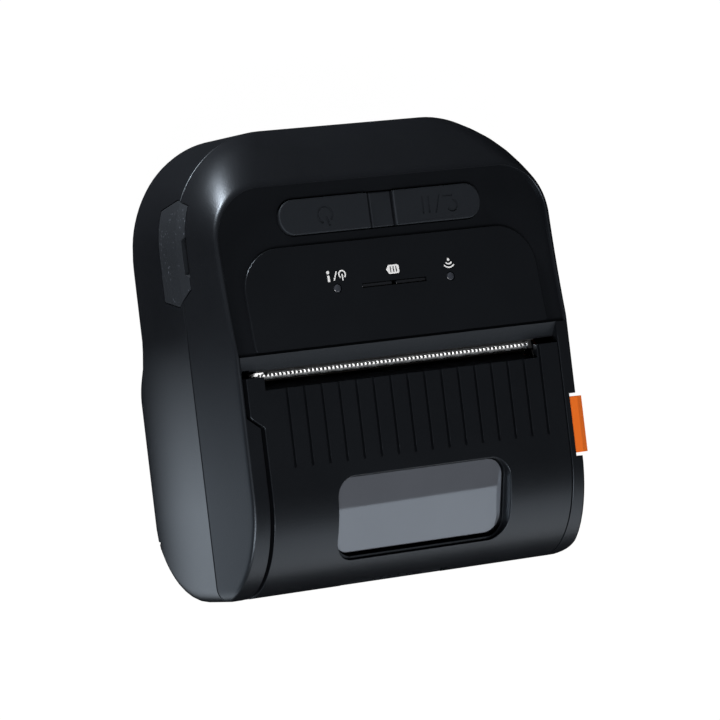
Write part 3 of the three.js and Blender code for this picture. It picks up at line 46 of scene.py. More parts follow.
# Sizes in millimetres, as in the part: X across, Y towards the key end, Z out of the front
body = Sizes(half_width=52.8, half_length=59.2, parting=34, front=53.3, wall=2.2, front_wall=2.4,
             front_draft=2.3, back_draft=3.05, seam=0.3, panel_drop=3.3, lip_y=3, crest_y=44.5,
             corner_parting=28.1, corner_crest=14, corner_bottom=3.9, front_end=26.2, back_end=20.3,
             back_end_depth=22, upper_back=5, step_start=-5.6, step_length=13, top_round_y=6,
             top_round_z=3.6, bulge=0.12, crest_fillet=1.2, back_fillet=1.5, seam_lip=0.12)
gap, running, overrun, overlap, hair = 0.3, 0.1, 5, 0.01, 0.001
legs = Sizes(right=3.9, left=4.8, ear_left=1.1, kink_y=-13.4, kink=2.8, lip=0.25)
lid = Sizes(wall=2, top=-6.9, ear_top=-3.5, bottom=35.3, relief=0.8, skirt=1.5, skirt_rise=2.6,
            pitch=5.15, count=16, rib_centre=1.65, rib_length=20.3, rib_width=0.74, rib_depth=0.9,
            flare=0.06, rim=0.2, draft=0.06, run=2.0, stiff_y=-17, stiff=6.5, lip=0.22, left_gap=1.1,
            notch_left=-43.0, notch_right=39.8)
hinge = Sizes(inset=2.6, rise=2.4, pin=1.1, knuckle=2.1, width=5.6, lug=6, left=-17.6, right=13.4,
              notch=4.2, web=1.9, reach=4, side=1, lug_inset=1.1)
slot = Sizes(crossbar=-1.9, facet_top=1.85, facet_depth=2.7, skim=0.02)
recess = Sizes(depth=1.1, margin=0.9, top_margin=0.4, corner=13.3, small=0.8, lip=0.3)
panel = Sizes(half=44.2, low=2.55, high=28.3, thick=0.8, corner=11, lift=0.05, lip=0.22)
keys = Sizes(low=31.1, high=40.2, left=-31.2, right=29.9, end=4.4, lift=0.9, bridge_lift=0.45,
             bridge_left=-3.9, bridge_right=3.2, flange=0.8, flange_thick=0.5, stem=1.5, stem_length=0.8,
             depth=2.4, lip=0.4, mark=0.22)
lamps = Sizes(x=17.2, y=16.6, radius=1.1, lift=0.2, dome=0.35, dome_drop=0.15, bar=9.6, bar_width=0.9,
              bar_gap=1.2, bar_corner=0.3, bar_lip=0.18, bar_drop=0.55, base=2, drop=0.4)
boards = Sizes(key_z=43, key_thick=1.2, left=-46, z=28)
ports = Sizes(back=23.3, front=38, low=18.4, high=41.5, peak=1.9, peak_z=32, thick=1.3, finger_low=24.4,
              finger_high=33.2, finger=1.7, slope=0.8, taper=2.3)
platen = Sizes(y=-10.2, z=43.5, bush=3.2, arm=4.6, web=1.2)
lever = Sizes(top=-18.1, low=-32.8, end_gap=0.9, notch_back=40, flange_z=50.7, notch_inner=48.1)
pane = Sizes(x=0.9, half=26.2, top=-31.1, low=-52.3, corner=5.5, well=1.6, fall=0.2955, low_z=45.4,
             thick=1.2, ledge=1.2, shade=1.9, lip=0.45, tighter=0.6, edge=0.3)
battery = Sizes(half=36.2, low=-9.5, high=46, thick=19.8, wall=1.5, latch_half=8, latch=3.5, travel=1.5,
                tongue=3.7, tongue_z=9.2, tongue_high=1.6)
screws = Sizes(head=2.3, head_high=1.6, shank=1.1, sink=2.2, post=2.9, x=41, y=43, left=47.8, right=47.9,
               low=-44, low_post=2.2, thread=8)
arms = Sizes(high=42.4, low=40.8)
tear = Sizes(low=-4.4, low_z=49.9, rise=1.7, thick=0.636, left=42.6, right=38.9, tab=45.9, pitch=1.213,
             depth=0.7, strip=0.15, bevel=1.35, slope=0.42, flange=0.45, flange_y=-2.9, flange_z=46.9,
             flange_end=40.2, land=0.04, root=0.16, past=0.1, under=0.2, tab_wide=0.8, tab_thick=0.3)
hinge_y, hinge_z = -body.half_length + hinge.inset, body.parting + hinge.rise
half_front = body.half_width - body.front_draft
leg_right, leg_left = half_front - legs.right, half_front - legs.left
ear_left = half_front - legs.ear_left
lid_right, lid_left = leg_right - gap, lid.left_gap - leg_left
crest_z = body.front - body.panel_drop


# Outlines and solids

def arc(a, b, radius, start, end, count):
    steps = [start + (end - start) * i / count for i in range(count + 1)]
    return [(a + radius * math.cos(t), b + radius * math.sin(t)) for t in steps]


def circle(a, b, radius, count=32):
    return arc(a, b, radius, 0, 2 * math.pi, count)[:-1]


def rounded(a0, a1, b0, b1, radii, count=8):
    r0, r1, r2, r3 = radii
    return (arc(a0 + r0, b0 + r0, r0, 2 * RIGHT, 3 * RIGHT, count)
            + arc(a1 - r1, b0 + r1, r1, 3 * RIGHT, 4 * RIGHT, count)
            + arc(a1 - r2, b1 - r2, r2, 0, RIGHT, count)
            + arc(a0 + r3, b1 - r3, r3, RIGHT, 2 * RIGHT, count))


def mesh_of(made):
    """Mesh with its faces turned outwards, from a bmesh that it frees"""
    bmesh.ops.recalc_face_normals(made, faces=made.faces)
    mesh = bpy.data.meshes.new("work")
    made.to_mesh(mesh)
    made.free()
    return mesh


def mesh_from(points, faces):
    made = bmesh.new()
    corners = [made.verts.new(p) for p in points]
    for face in faces:
        made.faces.new([corners[i] for i in face])
    bmesh.ops.remove_doubles(made, verts=made.verts, dist=WELD)
    bmesh.ops.dissolve_degenerate(made, edges=made.edges, dist=SLIVER)
    return mesh_of(made)


def prism(points, low, high, place):
    """Outline carried from low to high, with place giving the corner in space"""
    count = len(points)
    corners = [place(a, b, low) for a, b in points] + [place(a, b, high) for a, b in points]
    sides = [(i, (i + 1) % count, (i + 1) % count + count, i + count) for i in range(count)]
    ends = [tuple(reversed(range(count))), tuple(range(count, 2 * count))]
    return mesh_from(corners, sides + ends)


def prism_z(points, low, high):
    return prism(points, low, high, lambda a, b, c: (a, b, c))


def prism_x(points, low, high):
    return prism(points, low, high, lambda a, b, c: (c, a, b))


def block(x0, x1, y0, y1, z0, z1):
    return prism_z([(x0, y0), (x1, y0), (x1, y1), (x0, y1)], z0, z1)


def rod_x(y, z, radius, x0, x1, count=32):
    return prism_x(circle(y, z, radius, count), x0, x1)


def rod_z(x, y, radius, z0, z1, count=32):
    return prism_z(circle(x, y, radius, count), z0, z1)


def ring_faces(levels, count):
    """Quads between neighbouring rings of count points"""
    return [(low + i, low + (i + 1) % count, low + count + (i + 1) % count, low + count + i)
            for low in range(0, (levels - 1) * count, count) for i in range(count)]


def stack(rings):
    """Closed skin over rings of equal length"""
    count = len(rings[0])
    last = (len(rings) - 1) * count
    ends = [tuple(reversed(range(count))), tuple(range(last, last + count))]
    return mesh_from([p for ring in rings for p in ring], ring_faces(len(rings), count) + ends)


def linked(name, data):
    thing = bpy.data.objects.new(name, data)
    SCENE.collection.objects.link(thing)
    return thing


def evaluated(thing):
    """New mesh of a thing with its modifiers applied"""
    return bpy.data.meshes.new_from_object(thing.evaluated_get(bpy.context.evaluated_depsgraph_get()))


def combine(base, tool, how):
    """Joins, cuts or keeps what two closed meshes share, and drops both"""
    pair = [linked("work", mesh) for mesh in (base, tool)]
    step = pair[0].modifiers.new("cut", "BOOLEAN")
    step.operation, step.solver, step.object = how, "MANIFOLD", pair[1]
    result = evaluated(pair[0])
    for thing, mesh in zip(pair, (base, tool)):
        bpy.data.objects.remove(thing)
        bpy.data.meshes.remove(mesh)
    return result


def cut(base, *tools):
    for tool in tools:
        base = combine(base, tool, "DIFFERENCE")
    return base


def join(base, *tools):
    for tool in tools:
        base = combine(base, tool, "UNION")
    return base


def keep(base, tool):
    return combine(base, tool, "INTERSECT")


# The case's outer form

def front_z(y, inset=0.0):
    if y < -body.half_length + body.front_end:
        reach = (-body.half_length + body.front_end - y) / (body.front_end - inset)
        return body.parting + (body.front - body.parting - inset) * math.sqrt(max(0, 1 - reach * reach))
    if y <= body.lip_y:
        return body.front - inset
    share = max(0, (body.crest_y - y) / (body.crest_y - body.lip_y))
    return body.front - body.panel_drop * (1 - share * share) - inset


def back_z(y, inset=0.0):
    share = min(1, max(0, (y - body.step_start) / body.step_length))
    return inset + body.upper_back * (0.5 - 0.5 * math.cos(math.pi * share))


def half_at(z, inset):
    if z >= body.parting:
        return body.half_width - body.front_draft * (z - body.parting) / (body.front - body.parting) - inset
    return body.half_width - body.back_draft * (body.parting - z) / body.parting - inset


def top_at(z, inset):
    if z >= crest_z:
        return body.crest_y - inset * math.sqrt(2) - (z - crest_z)
    if z >= body.parting:
        share = (z - body.parting) / (crest_z - body.parting)
        fall = share - body.bulge * math.sin(math.pi * share)
        slope = body.half_length - (body.half_length - body.crest_y) * fall
        return slope - inset * (1 + (math.sqrt(2) - 1) * min(1, 4 * share))
    start = body.upper_back + body.top_round_z
    if z >= start:
        return body.half_length - inset
    drop = min(1, (start - z) / body.top_round_z)
    return body.half_length - body.top_round_y * (1 - math.sqrt(1 - drop * drop)) - inset


def low_at(z, inset):
    if z >= body.back_end_depth:
        return -body.half_length + inset
    drop = min(1, (body.back_end_depth - z) / (body.back_end_depth - inset))
    centre = -body.half_length + body.back_end
    return centre - (body.back_end - inset) * math.sqrt(max(0, 1 - drop * drop))


def corner_at(z, inset):
    share = min(1, max(0, (z - body.parting) / (crest_z - body.parting)))
    return body.corner_parting - (body.corner_parting - body.corner_crest) * share - inset


SIDE_SHARES = [0.022, 0.047, 0.077, 0.108, 0.139, 0.17, 0.2, 0.237, 0.274, 0.35, 0.43, 0.48, 0.505,
               0.53, 0.555, 0.58, 0.605, 0.63, 0.655, 0.68, 0.705, 0.717, 0.755, 0.79, 0.825, 0.86,
               0.9, 0.94, 0.97]
SETTLING, FILLET_STEPS, FILLET_SHARE, LIP_SHARE = 12, 5, 0.45, 0.3


def station(z, inset, corner_steps=22, small_steps=8):
    """Right half of the outline at one height, as point and outward direction"""
    half, top, low, radius = half_at(z, inset), top_at(z, inset), low_at(z, inset), corner_at(z, inset)
    small = max(body.corner_bottom - inset, body.seam)
    start, end = low + small, top - radius

    def turned(centre_y, reach, first, steps):
        turns = [first + RIGHT * i / steps for i in range(steps + 1)]
        return [(half - reach + reach * math.cos(t), centre_y + reach * math.sin(t), math.cos(t), math.sin(t))
                for t in turns]

    side = [(half, start + (end - start) * share, 1, 0) for share in SIDE_SHARES]
    return turned(start, small, -RIGHT, small_steps) + side + turned(end, radius, 0, corner_steps)


def case_form(inset, start, surface, fillet, lip, shares):
    """Closed form from a flat cut at height start to a curved face, with the edge between them rounded"""
    upward = surface(0, inset) > start
    sign = 1 if upward else -1
    count = len(station(start, inset))
    rings = []
    if lip:
        rings.append([(x - lip * nx, y - lip * ny, start) for x, y, nx, ny in station(start, inset)])
    columns = []
    for i in range(count):
        z = start
        for _ in range(SETTLING):
            z = surface(station(z, inset)[i][1], inset)
            z = max(z, start) if upward else min(z, start)
        height = abs(z - start)
        radius = min(fillet, height * FILLET_SHARE)
        first = start + sign * min(lip, height * LIP_SHARE)
        edge_x, edge_y, nx, ny = station(z, inset)[i]
        last = z - sign * radius
        levels = [first + (last - first) * share for share in shares]
        column = [(*station(level, inset)[i][:2], level) for level in levels]
        side, corner = Vector(column[-1]), Vector((edge_x, edge_y, z))
        inner_y = edge_y - radius * ny
        inner = Vector((edge_x - radius * nx, inner_y, surface(inner_y, inset)))
        for k in range(1, FILLET_STEPS + 1):
            t = k / FILLET_STEPS
            column.append(tuple(side * (1 - t) ** 2 + corner * 2 * t * (1 - t) + inner * t * t))
        columns.append(column)
    rings += [list(ring) for ring in zip(*columns)]
    around = 2 * count
    points = [p for ring in rings for p in ring + [(-x, y, z) for x, y, z in reversed(ring)]]
    last = (len(rings) - 1) * around
    faces = ring_faces(len(rings), around) + [tuple(range(around))]
    faces += [(last + i, last + i + 1, last + around - 2 - i, last + around - 1 - i)
              for i in range(count - 1)]
    return mesh_from(points, faces)


FRONT_SHARES = [0, 0.2, 0.4, 0.6, 0.8, 0.92, 1]
REAR_SHARES = [0, 0.12, 0.24, 0.36, 0.47, 0.57, 0.66, 0.74, 0.81, 0.87, 0.92, 0.96, 0.985, 1]


def front_form(inset, start=body.parting + body.seam / 2, fillet=0.0, lip=0.0):
    return case_form(inset, start, front_z, fillet, lip, FRONT_SHARES)


def rear_form(inset, start=body.parting - body.seam / 2, fillet=0.0, lip=0.0):
    return case_form(inset, start, back_z, fillet, lip, REAR_SHARES)


def spread(points, step):
    """Outline with long edges divided"""
    made = []
    for (a0, b0), (a1, b1) in zip(points, points[1:] + points[:1]):
        parts = max(1, math.ceil(math.hypot(a1 - a0, b1 - b0) / step))
        made += [(a0 + (a1 - a0) * i / parts, b0 + (b1 - b0) * i / parts) for i in range(parts)]
    return made


MITRE_LIMIT = 0.35
CUT_SHIFT = 0.37


def grown(points, by):
    """Anticlockwise outline moved outwards"""
    made = []
    count = len(points)
    for i, (a, b) in enumerate(points):
        before, after = points[i - 1], points[(i + 1) % count]
        d0 = Vector((a - before[0], b - before[1]))
        d1 = Vector((after[0] - a, after[1] - b))
        d0 = d0.normalized() if d0.length > TINY else d1.normalized()
        d1 = d1.normalized() if d1.length > TINY else d0
        n0, n1 = Vector((d0.y, -d0.x)), Vector((d1.y, -d1.x))
        middle = n0 + n1
        middle = middle.normalized() if middle.length > TINY else n0
        scale = by / max(MITRE_LIMIT, middle.dot(n0))
        made.append((a + middle.x * scale, b + middle.y * scale))
    return made


def lipped(outline, surface, radius, low, high=None, grow=1, step=2.0, turns=4, floor=None):
    """Upright solid whose edge at a curved surface flares out (grow 1) or rounds in (grow -1)"""
    base = spread(outline, step)
    shifts, falls = [], []
    for k in range(turns + 1):
        t = RIGHT * k / turns
        shifts.append(radius * (1 - math.cos(t)) * (1 if grow > 0 else -1))
        falls.append(radius * (1 - math.sin(t)))
    rings = [[(x, y, 0) for x, y in base]]
    rings += [[(x, y, k + 1) for x, y in grown(base, shift)] for k, shift in enumerate(shifts)]
    if high is not None:
        rings.append([(x, y, turns + 2) for x, y in grown(base, shifts[-1])])
    made = bmesh.new()
    made.from_mesh(stack(rings))
    y = math.ceil(min(b for _, b in base)) + CUT_SHIFT
    while y < max(b for _, b in base):
        everything = made.verts[:] + made.edges[:] + made.faces[:]
        bmesh.ops.bisect_plane(made, geom=everything, dist=CLOSE, plane_co=(0, y, 0), plane_no=(0, 1, 0))
        y += step
    for corner in made.verts:
        x, y, level = corner.co
        k = min(int(level + TINY), turns + 2)
        heights = []
        for row in (k, min(k + 1, turns + 2)):
            if row == 0:
                heights.append(floor(y) if floor else low)
            elif row <= turns + 1:
                heights.append(surface(y) - falls[row - 1])
            else:
                heights.append(high if high is not None else surface(y))
        share = min(max(level - k, 0.0), 1.0)
        corner.co.z = heights[0] + (heights[1] - heights[0]) * share
    bmesh.ops.remove_doubles(made, verts=made.verts, dist=CLOSE)
    return mesh_of(made)


# Rows of the same shape, set out by geometry nodes

def row_tree():
    tree = bpy.data.node_groups.new("row_along_x", "GeometryNodeTree")
    face, nodes = tree.interface, tree.nodes
    kinds = {"Shape": "Geometry", "Count": "Int", "Pitch": "Float", "Start": "Float", "Finish": "Material"}
    named = [face.new_socket(name, in_out="INPUT", socket_type="NodeSocket" + kind)
             for name, kind in kinds.items()]
    face.new_socket("Row", in_out="OUTPUT", socket_type="NodeSocketGeometry")
    entry, leave = nodes.new("NodeGroupInput"), nodes.new("NodeGroupOutput")
    steps, first = nodes.new("ShaderNodeCombineXYZ"), nodes.new("ShaderNodeCombineXYZ")
    line, copies, real, coat = [nodes.new("GeometryNode" + kind) for kind in (
        "MeshLine", "InstanceOnPoints", "RealizeInstances", "SetMaterial")]
    for source, out, goal, into in (
            (entry, "Pitch", steps, "X"), (entry, "Start", first, "X"), (entry, "Count", line, "Count"),
            (first, 0, line, "Start Location"), (steps, 0, line, "Offset"), (line, 0, copies, "Points"),
            (entry, "Shape", copies, "Instance"), (copies, 0, real, 0), (real, 0, coat, "Geometry"),
            (entry, "Finish", coat, "Material"), (coat, 0, leave, 0)):
        tree.links.new(source.outputs[out], goal.inputs[into])
    return tree, [socket.identifier for socket in named[1:]]


def in_a_row(shape, count, pitch, start, finish=None):
    """Mesh with count copies of a shape along X"""
    thing = linked("row", shape)
    step = thing.modifiers.new("row", "NODES")
    step.node_group = ROW
    for key, value in zip(ROW_KEYS, (count, float(pitch), float(start), finish)):
        if value is not None:
            step[key] = value
    mesh = evaluated(thing)
    bpy.data.objects.remove(thing)
    bpy.data.meshes.remove(shape)
    return mesh


ROW, ROW_KEYS = row_tree()


# Shader maths

class Field:
    """A shader value or colour that takes part in sums"""

    def __init__(self, paint, socket):
        self.paint, self.socket = paint, socket

    def math(self, operation, *others):
        return self.paint.node("ShaderNodeMath", {"operation": operation},
                               {0: self, **{i + 1: v for i, v in enumerate(others)}})

    def __add__(self, other):
        return self.math("ADD", other)

    def __mul__(self, other):
        return self.math("MULTIPLY", other)

    def __sub__(self, other):
        return self.math("SUBTRACT", other)

    def __truediv__(self, other):
        return self.math("DIVIDE", other)

    def __rsub__(self, other):
        return self.paint.node("ShaderNodeMath", {"operation": "SUBTRACT"}, {0: other, 1: self})

    def __neg__(self):
        return self * -1.0

    __radd__, __rmul__ = __add__, __mul__

    def above(self, limit, soft):
        """0 below the limit, 1 past it, with a soft edge"""
        return ((self - limit) / soft + 0.5).math("MAXIMUM", 0.0).math("MINIMUM", 1.0)


class Paint:
    """One node material, built from expressions"""

    def __init__(self, name):
        self.material = bpy.data.materials.new(name)
        self.material.use_nodes = True
        self.tree = self.material.node_tree
        self.tree.nodes.clear()
        self.output = self.tree.nodes.new("ShaderNodeOutputMaterial")
        self.place = self.node("ShaderNodeTexCoord", {}, {}, "Object")

    def node(self, kind, settings, inputs, result=0):
        made = self.tree.nodes.new(kind)
        for key, value in settings.items():
            setattr(made, key, value)
        for key, value in inputs.items():
            socket = made.inputs[key]
            if isinstance(value, Field):
                self.tree.links.new(value.socket, socket)
            else:
                socket.default_value = value
        return Field(self, made.outputs[result])

    def noise(self, scale, detail=2.0, roughness=0.5, stretch=None):
        where = self.place
        if stretch:
            where = self.node("ShaderNodeMapping", {}, {"Vector": where, "Scale": stretch})
        return self.node("ShaderNodeTexNoise", {}, {"Vector": where, "Scale": scale, "Detail": detail,
                                                    "Roughness": roughness})

    def cells(self, scale):
        return self.node("ShaderNodeTexVoronoi", {}, {"Vector": self.place, "Scale": scale})

    def mix(self, factor, first, second):
        return self.node("ShaderNodeMix", {"data_type": "RGBA"}, {0: factor, 6: first, 7: second}, 2)

    def blend(self, factor, first, second):
        return self.node("ShaderNodeMixShader", {}, {0: factor, 1: first, 2: second})

    def axes(self):
        split = self.node("ShaderNodeSeparateXYZ", {}, {0: self.place})
        outputs = split.socket.node.outputs
        return [Field(self, outputs[i]) for i in range(3)]

    def bump(self, height, distance, strength):
        return self.node("ShaderNodeBump", {}, {"Height": height, "Distance": distance,
                                                "Strength": strength})

    def finish(self, **inputs):
        named = {key.replace("_", " "): value for key, value in inputs.items()}
        shader = self.node("ShaderNodeBsdfPrincipled", {}, named)
        self.tree.links.new(shader.socket, self.output.inputs[0])
        return self.material


COOL = (0.74, 0.86, 1.0, 1.0)


def grey(level, blue=1.4):
    return (level, level * (1 + (blue - 1) * 0.3), level * blue, 1.0)


def dimmed(colour, share):
    return (*[part * share for part in colour[:3]], 1.0)


def moulded_plastic(name, dark, light, rough, grain=0.5, specular=0.5, matt=None):
    """Fine spark-eroded grain, slightly blotched, as on a moulded case, and rougher on a slanted lip"""
    p = Paint(name)
    rough_there = rough - 0.08
    if matt:
        x, y, z = p.axes()
        lip = (body.front * MM - 0.00003 - z).above(0, 0.00002)
        for edge in (x - matt[0] * MM, matt[1] * MM - x, y - matt[2] * MM, matt[3] * MM - y):
            lip = lip * edge.above(0, 0.0001)
        rough_there = lip * 0.3 + rough_there
    fine = p.noise(3200.0, 2.0, 0.6)
    pits = p.cells(2300.0)
    cloud = p.noise(38.0, 3.0, 0.6)
    height = fine * 0.6 + pits * 0.4
    return p.finish(Base_Color=p.mix(cloud, grey(dark), grey(light)),
                    Roughness=cloud * 0.08 + fine * 0.08 + rough_there,
                    Specular_IOR_Level=specular, Specular_Tint=COOL,
                    Normal=p.bump(height, 0.00006 * grain, 0.5))


def soft_rubber(name, dark, light, rough, specks=0.0):
    p = Paint(name)
    fine = p.noise(2400.0, 3.0, 0.65)
    cloud = p.noise(60.0, 4.0, 0.6)
    colour = p.mix(cloud, grey(dark), grey(light))
    if specks:
        dust = p.noise(1500.0, 1.0, 0.5).above(0.70, 0.05) * p.noise(160.0, 2.0, 0.6).above(0.52, 0.15)
        colour = p.mix(dust * specks, colour, grey(0.12))
    return p.finish(Base_Color=colour, Roughness=fine * 0.12 + (rough - 0.06), Specular_IOR_Level=0.4,
                    Specular_Tint=COOL, Normal=p.bump(fine, 0.00005, 0.6))


def clean_metal(name, colour, rough, brush=(1.0, 60.0, 60.0)):
    p = Paint(name)
    lines = p.noise(900.0, 3.0, 0.6, brush)
    cloud = p.noise(120.0, 2.0, 0.5)
    return p.finish(Base_Color=p.mix(lines * 0.6 + cloud * 0.4, dimmed(colour, 0.82), colour), Metallic=1.0,
                    Roughness=lines * 0.16 + (rough - 0.08), Normal=p.bump(lines, 0.00001, 0.3))


def highlit_teeth_steel(name, height):
    """Dull strip whose teeth past a line are painted bright, a painted highlight for the light they catch
    from above
    """
    p = Paint(name)
    y = p.axes()[1]
    lines = p.noise(1200.0, 3.0, 0.6, (1.0, 40.0, 40.0))
    # Painted highlight: bright colour on the teeth past the line
    painted_teeth_highlight = (y + lines * 0.0001).above(height * MM, 0.0001)
    colour = p.mix(painted_teeth_highlight, (0.2, 0.205, 0.21, 1.0), (0.93, 0.93, 0.93, 1.0))
    return p.finish(Base_Color=colour, Metallic=1.0, Roughness=lines * 0.12 + 0.2,
                    Normal=p.bump(lines, 0.000008, 0.3))


def plain_plastic(name, colour, rough):
    p = Paint(name)
    cloud = p.noise(90.0, 3.0, 0.6)
    fine = p.noise(2600.0, 2.0, 0.5)
    return p.finish(Base_Color=p.mix(cloud, dimmed(colour, 0.85), colour),
                    Roughness=cloud * 0.1 + (rough - 0.05), Normal=p.bump(fine, 0.00003, 0.4))


def circuit_board(name):
    """Green mask with copper tracks showing through as paler lines"""
    p = Paint(name)
    x, y, _ = p.axes()
    tracks = (x * 900.0 + p.noise(70.0, 1.0) * 9.0).math("SINE").above(0.55, 0.2)
    other = (y * 700.0 + p.noise(50.0, 1.0) * 11.0).math("SINE").above(0.7, 0.2)
    lines = tracks.math("MAXIMUM", other)
    colour = p.mix(lines, (0.008, 0.055, 0.022, 1.0), (0.02, 0.12, 0.045, 1.0))
    return p.finish(Base_Color=colour, Roughness=p.noise(300.0) * 0.15 + 0.25,
                    Normal=p.bump(lines, 0.00003, 0.5))


def clouded(name, noise, first, second, spread, rough, **more):
    """Two colours in soft clouds, rougher towards the second"""
    p = Paint(name)
    cloud = p.noise(*noise)
    return p.finish(Base_Color=p.mix(cloud, first, second), Roughness=cloud * spread + rough, **more)


def orange_plastic(name):
    p = Paint(name)
    cloud = p.noise(120.0, 3.0, 0.6)
    fine = p.noise(3000.0, 2.0, 0.5)
    return p.finish(Base_Color=p.mix(cloud, (0.9, 0.16, 0.012, 1.0), (0.97, 0.2, 0.02, 1.0)),
                    Roughness=fine * 0.1 + 0.36, Specular_IOR_Level=0.45, Normal=p.bump(fine, 0.00003, 0.4))


BLACK = (0.0042, 0.006, 0.36, 1.0, 0.4)
SHELL = moulded_plastic("case_black", *BLACK)
LIPPED = moulded_plastic("front_black", *BLACK, (-ear_left, leg_right, slot.crossbar, slot.facet_top))
REAR = moulded_plastic("rear_black", 0.0045, 0.0065, 0.34, 0.9, 0.55)
PANEL = moulded_plastic("overlay_black", 0.0042, 0.0052, 0.36, 0.45)
RUBBER = soft_rubber("key_black", 0.0075, 0.0105, 0.62)
SEAL = soft_rubber("port_rubber", 0.005, 0.0075, 0.66, 0.6)
INNER = moulded_plastic("inner_grey", 0.012, 0.018, 0.5, 0.8)
ORANGE = orange_plastic("lever_orange")
STEEL = clean_metal("bright_steel", (0.62, 0.62, 0.63, 1.0), 0.34)
TURNED = clean_metal("turned_steel", (0.6, 0.6, 0.61, 1.0), 0.26, (60.0, 1.0, 1.0))
ALUMINIUM = clean_metal("sink_aluminium", (0.72, 0.73, 0.74, 1.0), 0.42)
BRASS = clean_metal("gear_brass", (0.72, 0.52, 0.22, 1.0), 0.32)
ACETAL = plain_plastic("acetal_white", (0.72, 0.69, 0.62, 1.0), 0.45)
CERAMIC = plain_plastic("head_ceramic", (0.05, 0.045, 0.038, 1.0), 0.3)
GROUND = soft_rubber("roller_rubber", 0.016, 0.024, 0.55)
BOARD = circuit_board("circuit_board")
PANE = clouded("smoked_pane", (45.0, 3.0, 0.6), grey(0.075, 1.25), grey(0.095, 1.25), 0.01, 0.012,
               Alpha=0.93, IOR=1.58, Specular_IOR_Level=0.75, Specular_Tint=COOL)
LENS, LEVEL = [clouded(name, (500.0, 2.0, 0.5), grey(dark), grey(dark * 1.6), 0.1, 0.15,
                       Specular_IOR_Level=0.8) for name, dark in (("lamp_lens", 0.03), ("level_lens", 0.008))]
SIGN = clouded("sign_white", (2500.0, 2.0, 0.6), grey(0.8, 1.0), grey(0.95, 1.0), 0.1, 0.5)
# Tear bar steel, its teeth painted bright as a painted highlight
TEAR = highlit_teeth_steel("tear_steel", tear.low + tear.strip + tear.bevel - tear.depth + 0.15)
BEZEL = moulded_plastic("bezel_black", 0.003, 0.004, 0.3, 0.4, 0.25)
SPRING = clean_metal("dark_steel", (0.05, 0.05, 0.055, 1.0), 0.45)
def curved(thing, curves, near=0.1, span=0.2, alike=0.85):
    """Mesh shaded by the curves its faces lie on, and by its own shape elsewhere"""
    mesh = evaluated(thing)
    normals = [corner.vector.copy() for corner in mesh.corner_normals]
    for face in mesh.polygons:
        spots = [mesh.vertices[i].co / MM for i in face.vertices]
        for curve in curves:
            if max(abs(spot.z - curve(spot.y)) for spot in spots) > near:
                continue
            for k, spot in zip(face.loop_indices, spots):
                ahead, behind = curve(spot.y + span), curve(spot.y - span)
                facing = Vector((0, behind - ahead, 2 * span)).normalized()
                if abs(facing.dot(face.normal)) > alike:
                    normals[k] = facing if face.normal.z > 0 else -facing
            break
    mesh.normals_split_custom_set(normals)
    return mesh


def weigh_normals(thing):
    weighted = thing.modifiers.new("normals", "WEIGHTED_NORMAL")
    weighted.keep_sharp = True
    return weighted


def piece(name, mesh, paint, rides, replaces=(), angle=30, curves=()):
    """Finished piece at the origin, smooth-shaded up to an angle, riding on its body"""
    mesh.transform(Matrix.Scale(MM, 4))
    mesh.materials.clear()
    mesh.materials.append(paint)
    mesh.shade_smooth()
    mesh.set_sharp_from_angle(angle=math.radians(angle))
    thing = linked(name, mesh)
    weighted = weigh_normals(thing)
    if curves:
        shaded = curved(thing, curves)
        thing.modifiers.remove(weighted)
        thing.data = shaded
        bpy.data.meshes.remove(mesh)
    thing.data.name = name
    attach(thing, rides)
    if replaces:
        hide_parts(*replaces)


# The shells

def lid_opening(clear):
    far = -2 * body.half_length
    low = legs.kink_y - legs.kink
    return [(leg_right - clear, far), (leg_right - clear, slot.crossbar - clear),
            (-ear_left + clear, slot.crossbar - clear), (-ear_left + clear, legs.kink_y),
            (-leg_left + clear, low), (-leg_left + clear, far)]


def port_outline(clear, notched):
    y0, y1, back, front = ports.low - clear, ports.high + clear, ports.back - clear, ports.front + clear
    finger = [(ports.finger_high + ports.slope, front), (ports.finger_high, front - ports.finger),
              (ports.finger_low, front - ports.finger), (ports.finger_low - ports.slope, front)]
    return ([(y0, back), (y1, back), (y1 + ports.peak, ports.peak_z), (y1, front)]
            + (finger if notched else [])
            + [(y0 + ports.taper, front), (y0 - ports.peak, ports.peak_z)])


def whole_form(inset):
    """Front and rear halves as one closed form, for fitting insets"""
    return join(front_form(inset, body.parting - overlap), rear_form(inset, body.parting + overlap))


def port_pocket():
    reach = -body.half_width - overrun
    pocket = cut(prism_x(port_outline(gap, False), reach, 0), whole_form(ports.thick + gap))
    mouth = block(reach, boards.left, ports.low + body.wall, ports.high - body.wall,
                  boards.z - gap, ports.front - body.wall)
    return pocket, mouth


SCREWS = [(x, screws.y, screws.post, body.upper_back) for x in (-screws.x, screws.x)]
SCREWS += [(x, screws.low, screws.low_post, 0) for x in (-screws.left, screws.right)]


def recess_outline():
    half = half_front - recess.margin
    small = recess.small
    return rounded(-half, half, slot.facet_top - overrun, body.crest_y - recess.top_margin,
                   [small, small, recess.corner, recess.corner], 16)


def key_outline(clear):
    r = keys.end + clear
    return rounded(keys.left - clear, keys.right + clear, keys.low - clear, keys.high + clear, [r] * 4, 12)


def recess_z(y):
    return front_z(y) - recess.depth


def lamp_holes(clear, low, high):
    """What goes through at the two lamps and at the level lens"""
    bar, wide = lamps.bar + clear, lamps.bar_width / 2 + clear
    bores = [rod_z(x, lamps.y, lamps.radius + clear, low, high) for x in (-lamps.x, lamps.x)]
    return bores + [block(-bar, bar, lamps.y - wide, lamps.y + wide, low, high)]


